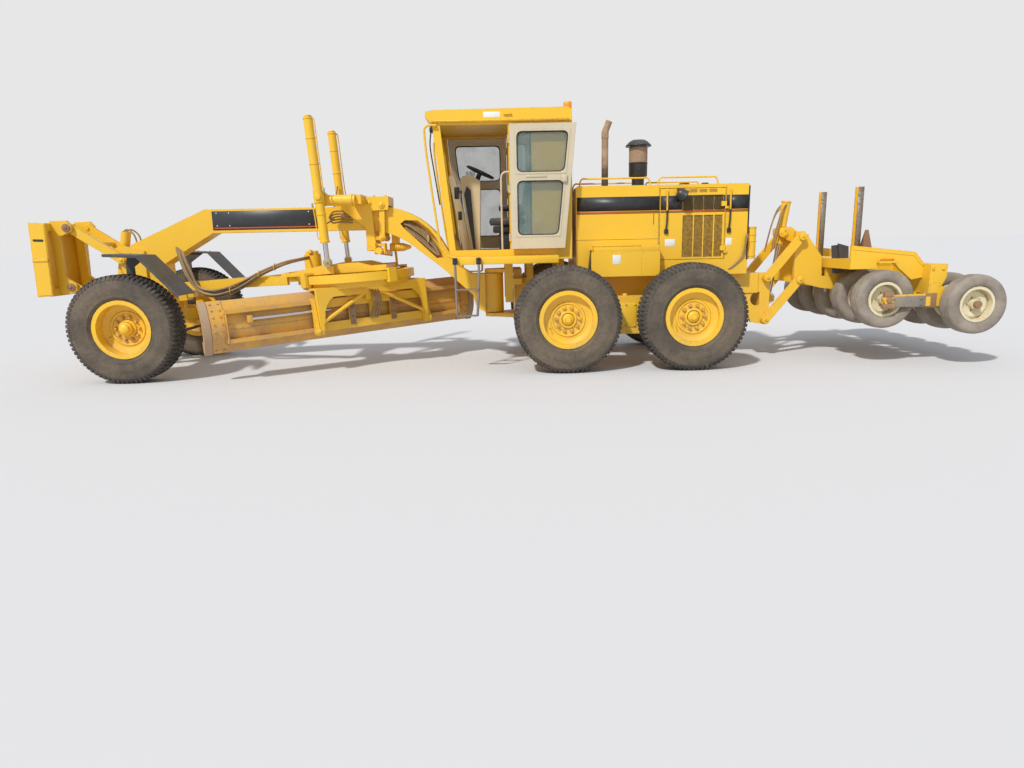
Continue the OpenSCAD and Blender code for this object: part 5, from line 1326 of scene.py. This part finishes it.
roller_rubber = finish_of("pale_roller_rubber", roller_rubber_surface)
rim_cream = paint("rim_cream", (0.78, 0.70, 0.46), dust=0.5, dust_top=1.6, wear=1.6,
                  rust=(0.34, 0.17, 0.08), chalk=0.6,
                  soil_colour=(0.50, 0.38, 0.22))
dress(rim_cream, "roller_front_rims", "roller_rear_rims")
PITCH = 0.512
rows = {"front": ((-9.190, 0.806), (-2, -1, 0, 1, 2)),
        "rear": ((-10.152, 0.747), (-2.5, -1.5, -0.5, 0.5, 1.5, 2.5))}
half = [(0.190, 0.080), (0.2125, 0.081), (0.222, 0.096), (0.245, 0.110), (0.275, 0.1165),
        (0.290, 0.1150), (0.312, 0.1165),
        (0.330, 0.108), (0.345, 0.092), (0.351, 0.070), (0.3505, 0.045), (0.347, 0.042),
        (0.347, 0.036), (0.3525, 0.033),
        (0.3535, 0.008), (0.349, 0.005)]
section = half + [(r, -y) for r, y in reversed(half)]
for row, ((x, z), spots) in rows.items():
    tyres, hubs = Work(), Work()
    for spot in spots:
        y = spot * PITCH
        tyres.lathe(section, (x, y, z), steps=72)
        for side in sides:
            dish = [(0.062, 0.0), (0.080, 0.004), (0.105, 0.018), (0.150, 0.018), (0.172, 0.002),
                    (0.172, -0.002), (0.062, -0.004)]
            hubs.lathe([(r, side * h) for r, h in dish],
                       (x, y + side * (0.002 if side > 0 else 0.012), z), steps=48)
    tyres.finish("roller_tyres_" + row, "roller_row_" + row, roller_rubber, "tyre_rubber",
                 ("roller_%s_tyres" % row,))
    hubs.finish("roller_dishes_" + row, "roller_row_" + row, rim_cream, "paint_cream")
    caps = Work()
    for side in sides:
        y = side * (max(spots) * PITCH + 0.070)
        caps.rod((x, y, z), (x, y + side * (0.020 if row == "front" else 0.045), z), 0.046, 0.008,
                 32)
        hexes(caps, circle_of(5, 0.082, (x, side * max(spots) * PITCH, z)), (0, side, 0), 0.010,
              0.018)
    caps.finish("roller_hubs_" + row, "roller_row_" + row, rusty, "paint_cream")
beams = Work()
for side in sides:
    beams.slab(side, (-9.640, -9.190), (1.1485, 1.1915), (0.716, 0.846), 0.006)
    hexes(beams, [(x, side * 1.1915, z) for x in (-9.25, -9.58) for z in (0.745, 0.815)],
          (0, side, 0), 0.012, 0.012)
beams.finish("walking_beams", "carrier", steel_grey, "paint_yellow")
rusted = Work()
for side in sides:
    rusted.rod((-9.190, side * 1.149, 0.806), (-9.190, side * 1.215, 0.806), 0.036, 0.006, 32)
    rusted.slab(side, (-9.265, -9.115), (1.149, 1.205), (0.700, 0.760), 0.006)
    rusted.slab(side, (-9.240, -9.130), (1.149, 1.200), (0.840, 0.905), 0.008)
    rusted.slab(side, (-9.784, -9.650), (1.054, 1.173), (0.700, 0.878), 0.012)
rusted.plate([(-9.198, 1.285), (-9.298, 1.642), (-9.332, 1.642), (-9.424, 1.285)], 0.2875, 0.3125,
             "xz", 0.002)
rusted.finish("roller_rusty_parts", "carrier", rusty, "paint_yellow")
posts = Work()
for side in sides:
    for y0, y1 in ((0.4685, 0.4705), (0.5495, 0.5515)):
        posts.slab(side, (-9.112, -9.038), (y0, y1), (1.292, 2.172), 0.0006)
    posts.slab(side, (-9.1125, -9.1105), (0.4685, 0.5515), (1.292, 2.172), 0.0006)
    punched = Work().slab(side, (-9.084, -9.066), (0.5515, 0.5525), (1.36, 1.385), 0.0003)
    posts.copy_of(repeated(punched, 15, step=(0, 0, 0.054)))
posts.finish("punched_posts", "carrier", steel_grey, "paint_yellow")
flap = Work()
flap.plate([(-8.765, 1.452), (-8.80, 1.10), (-8.90, 1.09), (-8.982, 1.28), (-8.955, 1.43),
            (-8.86, 1.462)], 0.50, 0.52, "xz", 0.006)
flap.plate([(-8.83, 1.48), (-8.90, 1.10), (-8.99, 1.14), (-8.97, 1.44)], 0.53, 0.545, "xz", 0.005)
flap.finish("rubber_flap", "carrier", fender_black, "fender_black")
bracket = Work()
for side in sides:
    bracket.tube([(-9.12, side * 1.02, 1.262), (-9.12, side * 1.02, 1.282),
                  (-9.15, side * 1.02, 1.296), (-9.28, side * 1.02, 1.296),
                  (-9.31, side * 1.02, 1.282), (-9.31, side * 1.02, 1.262)], 0.008)
    low, high = sorted((side * 1.0, side * 1.004))
    bracket.plate([(-8.80, 1.440), (-9.56, 1.352), (-9.68, 1.216), (-9.675, 1.19), (-9.550, 1.320),
                   (-8.80, 1.405)], low, high, "xz", 0.001)
    hexes(bracket, [(-9.72, side * 1.150, 1.16), (-9.84, side * 1.150, 1.16)], (0, side, 0), 0.014,
          0.012)
bracket.finish("roller_trim", "carrier", yellow, "paint_yellow")


# FLOOR AND LIGHT
# A plain pale studio floor; a broad sun-like lamp from the front left and a soft sky.
def studio():
    bpy.ops.mesh.primitive_plane_add(size=400, location=(0, 0, 0))
    floor = bpy.context.object
    floor.name = "floor"
    made = bpy.data.materials.new("floor_pale")
    made.use_nodes = True
    made.node_tree.nodes["Principled BSDF"].inputs["Base Color"].default_value = (0.62, 0.61, 0.60,
                                                                                  1)
    made.node_tree.nodes["Principled BSDF"].inputs["Roughness"].default_value = 0.9
    floor.data.materials.append(made)
    lamp = bpy.data.objects.new("key", bpy.data.lights.new("key", "SUN"))
    lamp.data.energy, lamp.data.angle = 3.0, 0.06
    lamp.rotation_euler = Vector((-0.42, -0.62, -0.80)).to_track_quat("-Z", "Y").to_euler()
    bpy.context.collection.objects.link(lamp)
    world = bpy.data.worlds.new("sky")
    bpy.context.scene.world = world
    world.use_nodes = True
    tree = world.node_tree
    back = tree.nodes["Background"]
    back.inputs["Color"].default_value = (0.88, 0.92, 1.0, 1)
    back.inputs["Strength"].default_value = 0.65
    white, path = tree.nodes.new("ShaderNodeBackground"), tree.nodes.new("ShaderNodeLightPath")
    seen, mix = tree.nodes.new("ShaderNodeMath"), tree.nodes.new("ShaderNodeMixShader")
    seen.operation = "MAXIMUM"
    tree.links.new(path.outputs["Is Camera Ray"], seen.inputs[0])
    tree.links.new(path.outputs["Is Transmission Ray"], seen.inputs[1])
    tree.links.new(seen.outputs[0], mix.inputs[0])
    tree.links.new(back.outputs[0], mix.inputs[1])
    tree.links.new(white.outputs[0], mix.inputs[2])
    tree.links.new(mix.outputs[0], tree.nodes["World Output"].inputs["Surface"])


studio()
bpy.context.scene.view_settings.view_transform = "Standard"
